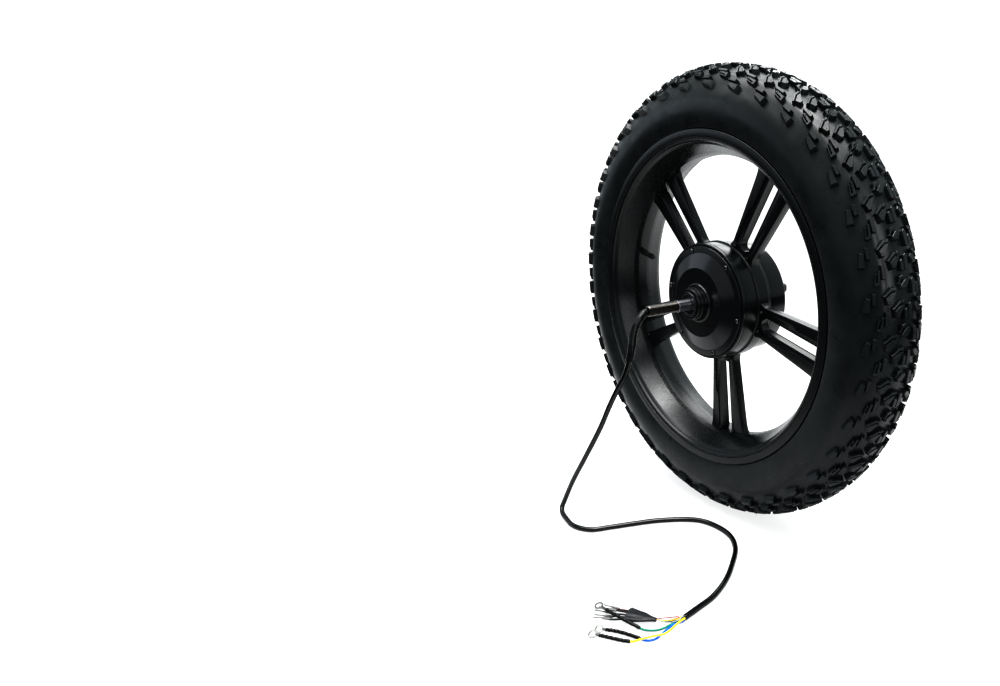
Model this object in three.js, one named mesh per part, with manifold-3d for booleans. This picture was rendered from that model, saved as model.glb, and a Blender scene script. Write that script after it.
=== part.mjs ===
// Hub motor wheel: a fat-tyre cast wheel with a geared hub motor in its centre.
// Units are millimetres. The axle lies along Y, +Z is up and the origin is the wheel
// centre. Front is -Y, the cable side; rear is +Y. The tyre stands on z = -TYRE_R.
import * as THREE from "three";
import { mergeVertices } from "three/addons/utils/BufferGeometryUtils.js";
import Module from "manifold-3d";

// ---------------------------------------------------------------- dimensions
const LARGE_FACETS = 32; // facets of the large turned parts
const SMALL_FACETS = 16; // facets of the small turned parts

const TYRE_R = 300; // outside radius
const FLOOR = -TYRE_R;
const LIP_R = 220.5; // rim flange, outside radius
const LIP_IN_R = 207.8; // rim flange, inside radius
const LIP_Y = 44.5; // half width over the rim flanges
const WELL_R = 189.4; // drop-centre well, inner radius

const SPOKE_PAIRS = 5;
const SPOKE_PHASE = 57.4; // direction of the first spoke pair, degrees
const SPOKE_FRONT = -5.5;
const SPOKE_REAR = 7.0;
const SLOT_HALF = 8.9; // half width of the slot between two arms
const LEDGE = { width: 5.0, length: 52, thickness: 4, offset: 10.0, radius: 112 };

const RING_R = 77.6; // hub ring of the cast wheel
const RING_BORE = 71.6;
const RING_FRONT = -34.9;
const RING_REAR = 13.5;

const SHELL_R = 75.6; // motor shell behind the spokes
const SHELL_IN_R = 66.3;
const SHELL_REAR = 45.0;
const COVER_R = 73.8;
const COVER_FACE = -37.0;
const SCREW_CIRCLE_R = 69.0;
const SCREW_PHASE = 47.0; // direction of the first cover screw, degrees
const SCREWS = 6;
const SCREW_HOLE_R = 2.0;

const BEARING_END = 57.5; // outer face of each axle bearing, from the centre plane
const BEARING_WIDTH = 10.8;

const AXLE_R = 7.5; // bearing seats
const STATOR_SEAT_R = 9.0;
const THREAD_R = 7.0;
const FLATS = 10.0; // across the flats
const AXLE_FRONT = -127;
const AXLE_REAR = 122;
const SHOULDER_FRONT = -81;
const SHOULDER_REAR = 79;
const SHOULDER_R = 7.9;
const AXLE_BORE_R = 4.0;
const AXLE_BORE_END = -33.5;

const STATOR_TEETH = 18;
const GEAR_MODULE = 2.25;
const SUN_TEETH = 12;
const PLANET_TEETH = 18;
const RING_TEETH = SUN_TEETH + 2 * PLANET_TEETH;
const PLANETS = 3;
const PLANET_ORBIT = (GEAR_MODULE * (SUN_TEETH + PLANET_TEETH)) / 2;

const VALVE_DEG = 165.4; // direction of the valve, degrees
const VALVE_BASE_R = 198; // wheel radius from which the valve profiles are measured

const CABLE_R = 3.4;
const CABLE_Z = FLOOR + CABLE_R + 0.25; // cable centre where it lies on the floor
const CABLE_END = [177.4, -219.6, CABLE_Z];
const TONGUE_THICKNESS = 0.7; // terminals and pin blades

// ----------------------------------------------------------------- materials
// [colour, roughness, metalness]
const FINISH = {
  castWheel: [0x17191b, 0.42, 0.35],
  tyre: [0x1c1d1e, 0.82, 0.0],
  innerTube: [0x202122, 0.7, 0.0],
  valveStem: [0x161718, 0.6, 0.0],
  valveCap: [0x101112, 0.45, 0.0],
  shell: [0x1b1d1f, 0.38, 0.4],
  cover: [0x1d1f22, 0.36, 0.4],
  screw: [0xb9bcc0, 0.3, 1.0],
  seal: [0x101010, 0.6, 0.0],
  bearing: [0xb8bcc2, 0.25, 1.0],
  dustCollar: [0x2a2c2f, 0.35, 0.7],
  axle: [0x8d9196, 0.32, 1.0],
  core: [0x70757a, 0.5, 0.9],
  copper: [0xb5632c, 0.35, 0.8],
  mount: [0x9aa0a6, 0.45, 0.9],
  board: [0x1f5a33, 0.5, 0.1],
  rotorCan: [0x5a5e63, 0.4, 0.9],
  magnets: [0x9a9c9f, 0.3, 0.9],
  sunGear: [0xa2a6ab, 0.35, 0.9],
  ringGear: [0x8f9499, 0.4, 0.9],
  planetGear: [0xd8d2c0, 0.55, 0.0],
  carrier: [0x858a90, 0.4, 0.9],
  clutch: [0x6f7479, 0.3, 1.0],
  cable: [0x111213, 0.4, 0.0],
  cableSleeve: [0x0e0f10, 0.5, 0.0],
  phaseSleeve: [0x101112, 0.6, 0.0],
  terminal: [0xc9ccd0, 0.25, 1.0],
  boot: [0x26282b, 0.55, 0.0],
  pin: [0xc6c9cd, 0.3, 0.8],
};
const insulation = (color) => [color, 0.4, 0.0];

// ------------------------------------------------------------ solids, meshes
const wasm = await Module();
wasm.setup();

const UP = new THREE.Vector3(0, 0, 1);
const AXIS = new THREE.Vector3(0, 1, 0);

// A Manifold from a closed three.js geometry, with its faces turned outwards.
function solid(geometry) {
  const loose = geometry.index ? geometry.toNonIndexed() : geometry.clone();
  for (const attribute of Object.keys(loose.attributes)) {
    if (attribute !== "position") loose.deleteAttribute(attribute);
  }
  const merged = mergeVertices(loose, 1e-4);
  const { position } = merged.attributes;
  const corner = (index) => new THREE.Vector3().fromBufferAttribute(position, index);
  const triangles = [];
  let volume = 0;
  for (let i = 0; i < merged.index.count; i += 3) {
    const [a, b, c] = [0, 1, 2].map((k) => merged.index.getX(i + k));
    if (a === b || b === c || c === a) continue;
    triangles.push(a, b, c);
    volume += corner(a).dot(corner(b).cross(corner(c))) / 6;
  }
  if (volume < 0) {
    for (let i = 0; i < triangles.length; i += 3) {
      [triangles[i + 1], triangles[i + 2]] = [triangles[i + 2], triangles[i + 1]];
    }
  }
  return new wasm.Manifold(new wasm.Mesh({
    numProp: 3,
    vertProperties: new Float32Array(position.array),
    triVerts: new Uint32Array(triangles),
  }));
}

function geometryOf(manifold) {
  const mesh = manifold.getMesh();
  const geometry = new THREE.BufferGeometry();
  geometry.setAttribute("position", new THREE.Float32BufferAttribute(mesh.vertProperties, 3));
  geometry.setIndex(Array.from(mesh.triVerts));
  geometry.computeVertexNormals();
  return geometry;
}

// Adds a named mesh to a group; the shape is a Manifold or a closed geometry.
function piece(group, name, shape, [color, roughness, metalness]) {
  const manifold = shape.getMesh ? shape : solid(shape);
  const material = new THREE.MeshStandardMaterial({ color, roughness, metalness });
  const mesh = new THREE.Mesh(geometryOf(manifold), material);
  mesh.name = name;
  group.add(mesh);
  return mesh;
}

// -------------------------------------------------------------- shape makers
// A turned piece about the Y axis from [radius, y] points; the profile closes itself.
function turned(points, facets = LARGE_FACETS) {
  const loop = points.map(([radius, y]) => new THREE.Vector2(radius, y));
  if (points[0][0] > 0) loop.push(loop[0].clone());
  return new THREE.LatheGeometry(loop, facets);
}

// A [radius, y] profile followed by its own mirror image in y, walked backwards.
function mirrored(half) {
  return [...half, ...half.map(([radius, y]) => [radius, -y]).reverse()];
}

// A plain round tube about the Y axis.
function collar(innerR, outerR, y0, y1, facets = SMALL_FACETS) {
  return turned([[innerR, y0], [outerR, y0], [outerR, y1], [innerR, y1]], facets);
}

// A round bar along Y.
function barY(radius, y0, y1, facets) {
  return new THREE.CylinderGeometry(radius, radius, y1 - y0, facets).translate(0, (y0 + y1) / 2, 0);
}

// A plane outline extruded along Y from y0 to y1: its x runs along -X and its y along +Z.
function plate(shape, y0, y1, curveSegments = 12) {
  const depth = y1 - y0;
  const geometry = new THREE.ExtrudeGeometry(shape, { depth, bevelEnabled: false, curveSegments });
  geometry.applyMatrix4(new THREE.Matrix4().makeBasis(new THREE.Vector3(-1, 0, 0), UP, AXIS));
  return geometry.translate(0, y0, 0);
}

const vectors = (points) => points.map(([x, y]) => new THREE.Vector2(x, y));

function circlePoints(radius, count) {
  return Array.from({ length: count }, (_, i) => {
    const angle = (2 * Math.PI * i) / count;
    return new THREE.Vector2(radius * Math.cos(angle), radius * Math.sin(angle));
  });
}

const circleHole = (radius, count) => new THREE.Path(circlePoints(radius, count).reverse());

// A round bar, or a tube if it has a bore, along a smooth path.
function bar(points, { radius, sides, steps, bore = 0 }) {
  const stations = points.map((point) => new THREE.Vector3(...point));
  const extrudePath = new THREE.CatmullRomCurve3(stations, false, "centripetal");
  const shape = new THREE.Shape(circlePoints(radius, sides));
  if (bore) shape.holes.push(circleHole(bore, sides));
  return new THREE.ExtrudeGeometry(shape, { steps, extrudePath, bevelEnabled: false });
}

// The outward direction at an angle in the XZ plane, from +X towards +Z.
function radial(degrees) {
  const angle = (degrees * Math.PI) / 180;
  return new THREE.Vector3(Math.cos(angle), 0, Math.sin(angle));
}

// Lays a geometry's y along a wheel radius and its z along the axle, then moves it outwards.
function alongRadius(geometry, degrees, distance = 0) {
  const outward = radial(degrees);
  const tangent = new THREE.Vector3(-outward.z, 0, outward.x);
  geometry.applyMatrix4(new THREE.Matrix4().makeBasis(tangent, outward, AXIS));
  return geometry.translate(...outward.multiplyScalar(distance).toArray());
}

const valveHole = (radius, length, facets, distance) =>
  solid(alongRadius(barY(radius, -length / 2, length / 2, facets), VALVE_DEG, distance));

// -------------------------------------------------------------------- groups
const assembly = new THREE.Group();
assembly.name = "hub_motor_wheel";
const wheel = new THREE.Group();
const stator = new THREE.Group();
const rotor = new THREE.Group();
const loom = new THREE.Group();
assembly.add(stator, wheel, rotor, loom);

// ---------------------------------------------------------------- cast wheel
// [radius, y] profiles
const RIM_INSIDE = [
  [LIP_R, -LIP_Y], [LIP_IN_R, -LIP_Y], [206.4, -40.2], [203.4, -39.2], [198.2, -29], [WELL_R, -8],
];
const RIM_OUTSIDE = [[LIP_R, 40.4], [208.6, 38.4], [207.4, 27], [196.8, 11]];
const HUB_RING = [
  [RING_BORE, RING_FRONT], [RING_R, RING_FRONT], [RING_R, -9.6], [79.4, -8.0], [79.4, 8.2],
  [78.2, RING_REAR], [RING_BORE, RING_REAR],
];
// [across, radius] outlines of a spoke pair and of the slot between its arms
const SPOKE_WEB = [
  [-20.6, 73], [20.6, 73], [22.2, 90], [30.6, 180],
  [34.2, 191.6], [-34.2, 191.6], [-30.6, 180], [-22.2, 90],
];
const SPOKE_SLOT = [
  [-SLOT_HALF, 90], [-SLOT_HALF, 182], [-SLOT_HALF * 0.6, 186], [SLOT_HALF * 0.6, 186],
  [SLOT_HALF, 182], [SLOT_HALF, 90], [SLOT_HALF * 0.7, 84], [0, 81.6], [-SLOT_HALF * 0.7, 84],
];

function spokePair(degrees) {
  const web = new THREE.Shape(vectors(SPOKE_WEB));
  web.holes.push(new THREE.Path(vectors(SPOKE_SLOT)));
  const depth = SPOKE_REAR - SPOKE_FRONT;
  const geometry = new THREE.ExtrudeGeometry(web, { depth, bevelEnabled: false });
  return solid(alongRadius(geometry.translate(0, 0, SPOKE_FRONT), degrees));
}

// Cutter for the shallow front ledge on the slot side of one arm.
function ledgeCutter(degrees, side) {
  const box = new THREE.BoxGeometry(LEDGE.width, LEDGE.length, LEDGE.thickness);
  box.translate(side * LEDGE.offset, LEDGE.radius, SPOKE_FRONT);
  return solid(alongRadius(box, degrees));
}

function castWheel() {
  const rim = solid(turned([...mirrored(RIM_INSIDE), ...mirrored(RIM_OUTSIDE)]));
  let cast = rim.add(solid(turned(HUB_RING)));
  for (let k = 0; k < SPOKE_PAIRS; k++) {
    const degrees = SPOKE_PHASE + (360 / SPOKE_PAIRS) * k;
    cast = cast.add(spokePair(degrees));
    for (const side of [-1, 1]) cast = cast.subtract(ledgeCutter(degrees, side));
  }
  return cast.subtract(valveHole(4.8, 40, 10, 193));
}
piece(wheel, "cast_wheel", castWheel(), FINISH.castWheel);

// --------------------------------------------------------- tyre, tube, valve
// [radius, y] profiles
const TYRE_OUTSIDE = [
  [209.3, -30], [209.3, -37.8], [221.5, -39.9], [223.2, -45.2], [238, -49.4], [254, -50],
  [269, -48.4], [284, -37.5], [295.6, -20], [TYRE_R, -6],
];
const TYRE_INSIDE = [[226, 40], [250, 44.8], [272, 34], [286, 12]];
piece(wheel, "tyre", turned([...mirrored(TYRE_OUTSIDE), ...mirrored(TYRE_INSIDE)]), FINISH.tyre);

function innerTube() {
  const outer = solid(turned(mirrored([[281.4, -9], [250, -41], [213.6, -22]]), 20));
  const inner = solid(turned(mirrored([[279.4, -8.2], [250, -38.8], [215.6, -21]]), 20));
  return outer.subtract(inner).subtract(valveHole(4.9, 16, 8, 212));
}
piece(wheel, "inner_tube", innerTube(), FINISH.innerTube);

// [radius, distance outwards from VALVE_BASE_R] profiles about the valve's own axis
const VALVE_STEM = [[0, -30], [2.6, -30], [2.6, -23], [4.0, -21], [4.4, -8], [4.4, 19], [0, 19]];
const VALVE_CAP = [
  [0, -36.4], [3.2, -36.4], [4.0, -35.2], [4.0, -23.4], [2.95, -23.4], [2.95, -30.4], [0, -30.4],
];
const valvePart = (profile) => alongRadius(turned(profile, 8), VALVE_DEG, VALVE_BASE_R);
piece(wheel, "valve_stem", valvePart(VALVE_STEM), FINISH.valveStem);
piece(wheel, "valve_cap", valvePart(VALVE_CAP), FINISH.valveCap);

// ------------------------------------------------ motor shell, cover, screws
// [radius, y] profiles
const SHELL = [
  [SHELL_IN_R, -34.7], [71.2, -34.7], [71.2, 13.9], [SHELL_R, 13.9], [SHELL_R, SHELL_REAR],
  [24, SHELL_REAR], [21.8, 60], [17.9, 60], [17.9, 46.4], [12, 46.4], [12, 41.2],
  [SHELL_IN_R, 41.2],
];
const COVER = [
  [17.9, -60], [20.8, -60], [21.5, -59], [21.8, -47.2], [23.8, -48.1], [26, -48.1], [26.4, -46],
  [46.2, -45.9], [65.1, -37.2], [COVER_R, COVER_FACE], [COVER_R, -35.2], [66.0, -35.2],
  [66.0, -31.8], [61, -31.8], [45, -41.4], [12, -42], [12, -46.2], [17.9, -46.2],
];
const COVER_SCREW = [
  [0, -39.0], [2.4, -39.0], [2.9, -38.4], [2.9, -37.3], [1.6, -37.3], [1.6, -25], [0, -25],
];
const screwCentres = Array.from({ length: SCREWS }, (_, i) =>
  radial(SCREW_PHASE + (360 / SCREWS) * i).multiplyScalar(SCREW_CIRCLE_R));

function drilled(profile) {
  return screwCentres.reduce(
    (body, { x, z }) => body.subtract(solid(barY(SCREW_HOLE_R, -50, -24, 6).translate(x, 0, z))),
    solid(turned(profile)),
  );
}
piece(wheel, "motor_shell", drilled(SHELL), FINISH.shell);
piece(wheel, "front_cover", drilled(COVER), FINISH.cover);
screwCentres.forEach((centre, i) => {
  const screw = piece(wheel, `cover_screw_${i + 1}`, turned(COVER_SCREW, 6), FINISH.screw);
  screw.position.copy(centre);
});

// -------------------------------------------- seals, bearings, dust collars
// [radius, distance from the centre plane]
const DUST_COLLAR = [[7.9, 60.3], [16.4, 60.3], [16.4, 62.0], [15.6, 62.8], [7.9, 62.8]];
const AXLE_ENDS = [
  { end: "front", side: -1, bearingY: -BEARING_END },
  { end: "rear", side: 1, bearingY: BEARING_END - BEARING_WIDTH },
];
for (const { end, side, bearingY } of AXLE_ENDS) {
  const race = (innerR, outerR) => collar(innerR, outerR, bearingY, bearingY + BEARING_WIDTH);
  const dustCollar = turned(DUST_COLLAR.map(([r, y]) => [r, side * y]), SMALL_FACETS);
  piece(wheel, `${end}_seal`, collar(8.0, 17.5, side * 57.9, side * 59.6), FINISH.seal);
  piece(wheel, `${end}_bearing_outer`, race(14.4, 17.4), FINISH.bearing);
  piece(stator, `${end}_bearing_inner`, race(7.9, 10.9), FINISH.bearing);
  piece(stator, `${end}_dust_collar`, dustCollar, FINISH.dustCollar);
}

// ---------------------------------------------------------------------- axle
// [radius, y] profile
const AXLE = [
  [0, AXLE_FRONT], [6.2, AXLE_FRONT], [THREAD_R, AXLE_FRONT + 1.2],
  [THREAD_R, SHOULDER_FRONT - 0.4], [SHOULDER_R, SHOULDER_FRONT],
  [SHOULDER_R, SHOULDER_FRONT + 2.6], [AXLE_R, SHOULDER_FRONT + 3.0],
  [AXLE_R, -38], [STATOR_SEAT_R, -37.6], [STATOR_SEAT_R, -4], [AXLE_R, -3.6],
  [AXLE_R, SHOULDER_REAR], [THREAD_R, SHOULDER_REAR + 0.4],
  [THREAD_R, AXLE_REAR - 1.2], [6.2, AXLE_REAR], [0, AXLE_REAR],
];

function axleShaft() {
  const cutWidth = 6;
  const flatSpans = [
    [AXLE_FRONT - 1, SHOULDER_FRONT - 0.6],
    [SHOULDER_REAR + 0.6, AXLE_REAR + 1],
  ];
  let axle = solid(turned(AXLE, SMALL_FACETS));
  for (const side of [-1, 1]) {
    for (const [y0, y1] of flatSpans) {
      const flat = new THREE.BoxGeometry(cutWidth, y1 - y0, 20);
      flat.translate((side * (FLATS + cutWidth)) / 2, (y0 + y1) / 2, 0);
      axle = axle.subtract(solid(flat));
    }
  }
  axle = axle.subtract(solid(barY(AXLE_BORE_R, AXLE_FRONT - 1, AXLE_BORE_END, 12)));
  // A side opening leads from the inner end of the bore out to +X.
  const opening = new THREE.BoxGeometry(12, 7, 6).translate(6, -37.5, 0);
  return axle.subtract(solid(opening));
}
piece(stator, "axle", axleShaft(), FINISH.axle);

// -------------------------------------------------------- stator, hall board
// Star outline with parallel-sided teeth.
function toothedShape(rootR, tipR, halfWidth) {
  const points = [];
  for (let i = 0; i < STATOR_TEETH; i++) {
    const angle = (2 * Math.PI * i) / STATOR_TEETH;
    const cos = Math.cos(angle);
    const sin = Math.sin(angle);
    const at = (r, offset) => new THREE.Vector2(r * cos - offset * sin, r * sin + offset * cos);
    points.push(at(rootR, -halfWidth), at(tipR, -halfWidth));
    points.push(at(tipR, halfWidth), at(rootR, halfWidth));
  }
  return new THREE.Shape(points);
}

function statorCore() {
  const core = toothedShape(38, 57.2, 3.2);
  core.holes.push(circleHole(24, SMALL_FACETS));
  return plate(core, -27, -3);
}

// A ring of copper with room cut out for the core and its teeth.
function windings() {
  const coils = solid(collar(39.4, 54.6, -30.8, 0.8, 36));
  return coils.subtract(solid(plate(toothedShape(30, 60, 3.6), -27.4, -2.6)));
}

function hallBoard() {
  const [startAngle, endAngle] = [-0.2, 2.0]; // radians
  const board = new THREE.Shape();
  board.absarc(0, 0, 52, startAngle, endAngle, false);
  board.absarc(0, 0, 22, endAngle, startAngle, true);
  return plate(board, -32.6, -31.2, 8);
}

// [radius, y] profile
const STATOR_MOUNT = [
  [9.4, -30], [31, -30], [31, -27.4], [23.6, -27.4], [23.6, -4],
  [19.4, -4], [19.4, -24], [13, -24], [13, -8], [9.4, -8],
];
piece(stator, "stator_core", statorCore(), FINISH.core);
piece(stator, "stator_windings", windings(), FINISH.copper);
piece(stator, "stator_mount", turned(STATOR_MOUNT, SMALL_FACETS), FINISH.mount);
piece(stator, "hall_sensor_board", hallBoard(), FINISH.board);
piece(stator, "rotor_bearing", collar(7.8, 12.0, 0.4, 5.6), FINISH.bearing);

// --------------------------------------------------------- rotor and gearing
// Gear outline with four points a tooth; phase is the angle of the first tooth.
function gearPoints(teeth, { internal = false, phase }) {
  const pitchR = (GEAR_MODULE * teeth) / 2;
  const outwards = internal ? -1 : 1;
  const tip = pitchR + outwards * 0.8 * GEAR_MODULE;
  const root = pitchR - outwards * 1.1 * GEAR_MODULE;
  const step = (2 * Math.PI) / teeth;
  const tipHalf = 0.125 * step;
  const rootHalf = 0.33 * step;
  const corners = [[root, -rootHalf], [tip, -tipHalf], [tip, tipHalf], [root, rootHalf]];
  const points = [];
  for (let i = 0; i < teeth; i++) {
    for (const [r, offset] of corners) {
      const angle = step * i + phase + offset;
      points.push(new THREE.Vector2(r * Math.cos(angle), r * Math.sin(angle)));
    }
  }
  return points;
}

// Sun and ring start half a tooth round, so their tooth spaces face the planets' teeth.
function sunGear() {
  const outline = new THREE.Shape(gearPoints(SUN_TEETH, { phase: Math.PI / SUN_TEETH }));
  const flange = solid(collar(8, 18, 6.3, 9.2));
  const bore = solid(barY(8.3, 6, 27, SMALL_FACETS));
  return solid(plate(outline, 6.6, 26)).add(flange).subtract(bore);
}

function ringGear() {
  const teeth = gearPoints(RING_TEETH, { internal: true, phase: Math.PI / RING_TEETH });
  const ring = new THREE.Shape(circlePoints(65.8, LARGE_FACETS));
  ring.holes.push(new THREE.Path(teeth.reverse()));
  return plate(ring, 10.6, 25.4);
}

// A tooth of the planet points outwards along its orbit radius.
function planetGear(angle) {
  const shape = new THREE.Shape(gearPoints(PLANET_TEETH, { phase: angle }));
  shape.holes.push(circleHole(5.6, 8));
  return plate(shape, 11, 25);
}

// Planet angles run from -X towards +Z, as plate() lays its outlines.
const planets = Array.from({ length: PLANETS }, (_, i) => {
  const angle = (2 * Math.PI * i) / PLANETS;
  return { angle, x: -PLANET_ORBIT * Math.cos(angle), z: PLANET_ORBIT * Math.sin(angle) };
});

// [radius, y] profiles
const ROTOR_CAN = [
  [60.7, -28], [64.4, -28], [64.4, 6], [12.4, 6], [12.4, 0], [17, 0], [17, 2.8], [60.7, 2.8],
];
const CARRIER = [[15.4, 26.6], [41, 26.6], [41, 31], [21, 31], [21, 38.6], [15.4, 38.6]];

// The carrier plate and sleeve with a pin for each planet.
function planetCarrier() {
  return planets.reduce(
    (carrier, { x, z }) => carrier.add(solid(barY(4.8, 11.2, 28, 8).translate(x, 0, z))),
    solid(turned(CARRIER, SMALL_FACETS)),
  );
}

piece(rotor, "rotor_can", turned(ROTOR_CAN), FINISH.rotorCan);
piece(rotor, "magnet_ring", collar(58.0, 60.3, -27.6, 2.2, LARGE_FACETS), FINISH.magnets);
piece(rotor, "sun_gear", sunGear(), FINISH.sunGear);
piece(wheel, "ring_gear", ringGear(), FINISH.ringGear);
planets.forEach(({ angle, x, z }, i) => {
  const planet = piece(stator, `planet_gear_${i + 1}`, planetGear(angle), FINISH.planetGear);
  planet.position.set(x, 0, z);
});
piece(stator, "planet_carrier", planetCarrier(), FINISH.carrier);
piece(stator, "one_way_clutch", collar(7.9, 15.0, 26.8, 38.4), FINISH.clutch);

// ---------------------------------------------------------- cable and sleeve
// [x, y, z] stations from inside the axle, down to the floor and along it
const CABLE_PATH = [
  [0, -40, 0], [0, -80, 0], [0, -122, 0], [0.5, -130, -0.6], [2, -140, -7], [3, -148, -16],
  [5, -153, -26], [8, -157, -38], [7.5, -161, -54], [2, -165, -74], [-10, -169, -94],
  [-25, -172, -118], [-46, -176, -155], [-78, -183, -205], [-106, -189, -248],
  [-123, -193.5, -280], [-126, -197, -291], [-119, -201, CABLE_Z + 1.1],
  ...[
    [-96, -205.8], [-81, -207.6], [-67, -205], [-50.7, -195], [-38.7, -172.8], [-23.2, -142.1],
    [-9.6, -117.8], [17, -85.2], [35.2, -73], [63.8, -68.1], [91.1, -72], [115.4, -86.4],
    [136.1, -109.9], [157.4, -140.7], [170.8, -172.2], [174.7, -197.7], [177.4, -219.3],
  ].map(([x, y]) => [x, y, CABLE_Z]),
];
const SLEEVE_PATH = [
  [0, -129.2, -0.2], [0.4, -132, -1.3], [2, -140, -7], [3, -148, -16],
  [5, -153, -26], [7.6, -156.6, -36], [8.1, -159, -46], [7, -161.4, -56],
];
const cable = bar(CABLE_PATH, { radius: CABLE_R, sides: 6, steps: 60 });
const cableSleeve = bar(SLEEVE_PATH, { radius: 5.8, sides: 6, steps: 9, bore: 4.6 });
piece(loom, "motor_cable", cable, FINISH.cable);
piece(loom, "cable_sleeve", cableSleeve, FINISH.cableSleeve);

// ------------------------------------------------- phase leads and terminals
// A lead's path: two stations straight out of the cable end, then its own stations.
function leadPath([offsetX, offsetZ], stations) {
  const [x, y, z] = CABLE_END;
  const outOfCable = [0.4, 3.2].map((gap) => [x + offsetX, y - gap, z + offsetZ]);
  return [...outOfCable, ...stations];
}

// A flat tongue between two points, with a ring on its far end if an eye is given.
function terminal(from, to, width, eye) {
  const start = new THREE.Vector3(...from);
  const dir = new THREE.Vector3(...to).sub(start);
  const length = dir.length();
  dir.normalize();
  const across = new THREE.Vector3().crossVectors(dir, UP).normalize();
  const normal = new THREE.Vector3().crossVectors(across, dir);
  const tongue = new THREE.BoxGeometry(width, length, TONGUE_THICKNESS);
  let blade = solid(tongue.translate(0, length / 2, 0));
  if (eye) {
    const disc = (radius, thickness, facets) => solid(
      new THREE.CylinderGeometry(radius, radius, thickness, facets)
        .rotateX(Math.PI / 2).translate(0, length, 0));
    blade = blade.add(disc(eye.outerR, TONGUE_THICKNESS, 12))
      .subtract(disc(eye.holeR, TONGUE_THICKNESS * 4, 8));
  }
  const place = new THREE.Matrix4().makeBasis(across, dir, normal).setPosition(start);
  return blade.transform(place.elements);
}

// offset: [x, z] from the cable centre; the other lists are [x, y, z] stations
const PHASES = {
  green: {
    color: 0x128a6c,
    offset: [-1.5, -1.9],
    wire: [
      [175.0, -228.6, -297.7], [174.2, -235.4, -298.2], [173.6, -242.6, -298.3],
      [171.4, -249.5, -298.3], [167.2, -255.4, -298.2], [162.3, -259.6, -298.0],
      [158.0, -261.8, -297.6],
    ],
    sleeve: [
      [157.4, -262.1, -297.2], [146.2, -267.0, -294.6], [133.5, -270.8, -292.7],
      [120.4, -274.0, -291.9], [111.8, -275.4, -291.9],
    ],
    terminal: [[111.3, -275.5, -291.9], [100.6, -277.0, -292.2]],
  },
  blue: {
    color: 0x1f6fe0,
    offset: [1.25, -2.05],
    wire: [
      [177.8, -231.4, -298.2], [178.9, -240.3, -298.5], [180.6, -250, -298.5],
      [181.5, -258.5, -298.5], [178.8, -265.1, -298.5], [174.9, -268.8, -298.4],
      [171.4, -270.5, -298.1],
    ],
    sleeve: [
      [170.8, -270.8, -297.8], [160.5, -274.8, -297.7], [149.3, -279.6, -297.7],
      [140.1, -284.7, -297.7], [133.5, -289.4, -297.7],
    ],
    terminal: [[133.1, -289.7, -297.8], [126.6, -295.0, -298.0]],
  },
  yellow: {
    color: 0xe8d21c,
    offset: [2.2, 1.05],
    wire: [
      [181.4, -232.9, -295.2], [184.6, -243.9, -294.9], [184.4, -252.2, -294.7],
      [180.6, -259.6, -294.7], [177.6, -266.6, -294.7], [174.2, -273.3, -295.2],
      [170.4, -277.7, -297.2], [167.4, -280.4, -297.8],
    ],
    sleeve: [
      [166.8, -280.9, -297.8], [159.6, -286.2, -297.7], [150.6, -291.3, -297.7],
      [142.3, -295.7, -297.7], [136.3, -299.0, -297.7],
    ],
    terminal: [[135.8, -299.3, -298.4], [128.6, -303.6, -298.9]],
  },
};
for (const [name, phase] of Object.entries(PHASES)) {
  const wire = bar(leadPath(phase.offset, phase.wire), { radius: 1.1, sides: 5, steps: 11 });
  const sleeve = bar(phase.sleeve, { radius: 1.8, sides: 6, steps: 4 });
  const ring = terminal(...phase.terminal, 2.4, { outerR: 4.6, holeR: 2.4 });
  piece(loom, `phase_wire_${name}`, wire, insulation(phase.color));
  piece(loom, `phase_sleeve_${name}`, sleeve, FINISH.phaseSleeve);
  piece(loom, `phase_terminal_${name}`, ring, FINISH.terminal);
}

// -------------------------------------- hall sensor leads, boot and pin ends
// [colour, [x, z] offset from the cable centre, [x, y, z] stations]
const HALL_WIRES = [
  [0xc0392b, [-2.9, 0.3], [
    [166.8, -223.8, -295.4], [162.5, -229.5, -295.6],
    [159.6, -235.0, -295.8], [158.2, -239.2, -296.0]]],
  [0xe0761e, [-2.4, 1.6], [
    [169.2, -224.3, -294.9], [166.2, -230.0, -295.3],
    [162.6, -236.0, -295.7], [159.3, -240.0, -296.0]]],
  [0xe3cf2a, [-1.1, 2.7], [
    [171.6, -225.5, -294.5], [168.0, -232.1, -295.1],
    [164.2, -237.4, -295.7], [160.4, -240.9, -296.0]]],
  [0x2f8f4e, [0.3, 2.9], [
    [173.9, -226.0, -294.5], [171.1, -232.4, -295.1],
    [166.6, -238.4, -295.7], [161.5, -242.0, -296.0]]],
  [0x26282a, [-1.1, 0.8], [
    [172.2, -225.0, -296.0], [169.6, -231.6, -296.6],
    [165.6, -236.9, -296.8], [160.2, -241.6, -297.2]]],
];
HALL_WIRES.forEach(([color, offset, stations], i) => {
  const wire = bar(leadPath(offset, stations), { radius: 0.42, sides: 4, steps: 7 });
  piece(loom, `hall_wire_${i + 1}`, wire, insulation(color));
});

const BOOT_START = new THREE.Vector3(157.6, -242.6, -296.0); // narrow end, at the wires
const BOOT_END = new THREE.Vector3(128.4, -259.4, -296.0); // wide end, at the pins
const BOOT_FLATTENING = 0.34;
const bootDir = BOOT_END.clone().sub(BOOT_START).normalize();
const pinAcross = new THREE.Vector3().crossVectors(UP, bootDir);

// Flared boot lying on the floor: a turned form, flattened.
function hallBoot() {
  const length = BOOT_START.distanceTo(BOOT_END);
  const profile = [
    [0, 0], [3.0, 0], [4.3, 0.24 * length], [7.6, 0.45 * length],
    [10.2, 0.75 * length], [11.0, length], [0, length],
  ];
  const across = pinAcross.clone().negate();
  const boot = turned(profile, 12).scale(1, 1, BOOT_FLATTENING);
  boot.applyMatrix4(new THREE.Matrix4().makeBasis(across, bootDir, UP));
  return boot.translate(...BOOT_START.toArray());
}
piece(loom, "hall_boot", hallBoot(), FINISH.boot);

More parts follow.
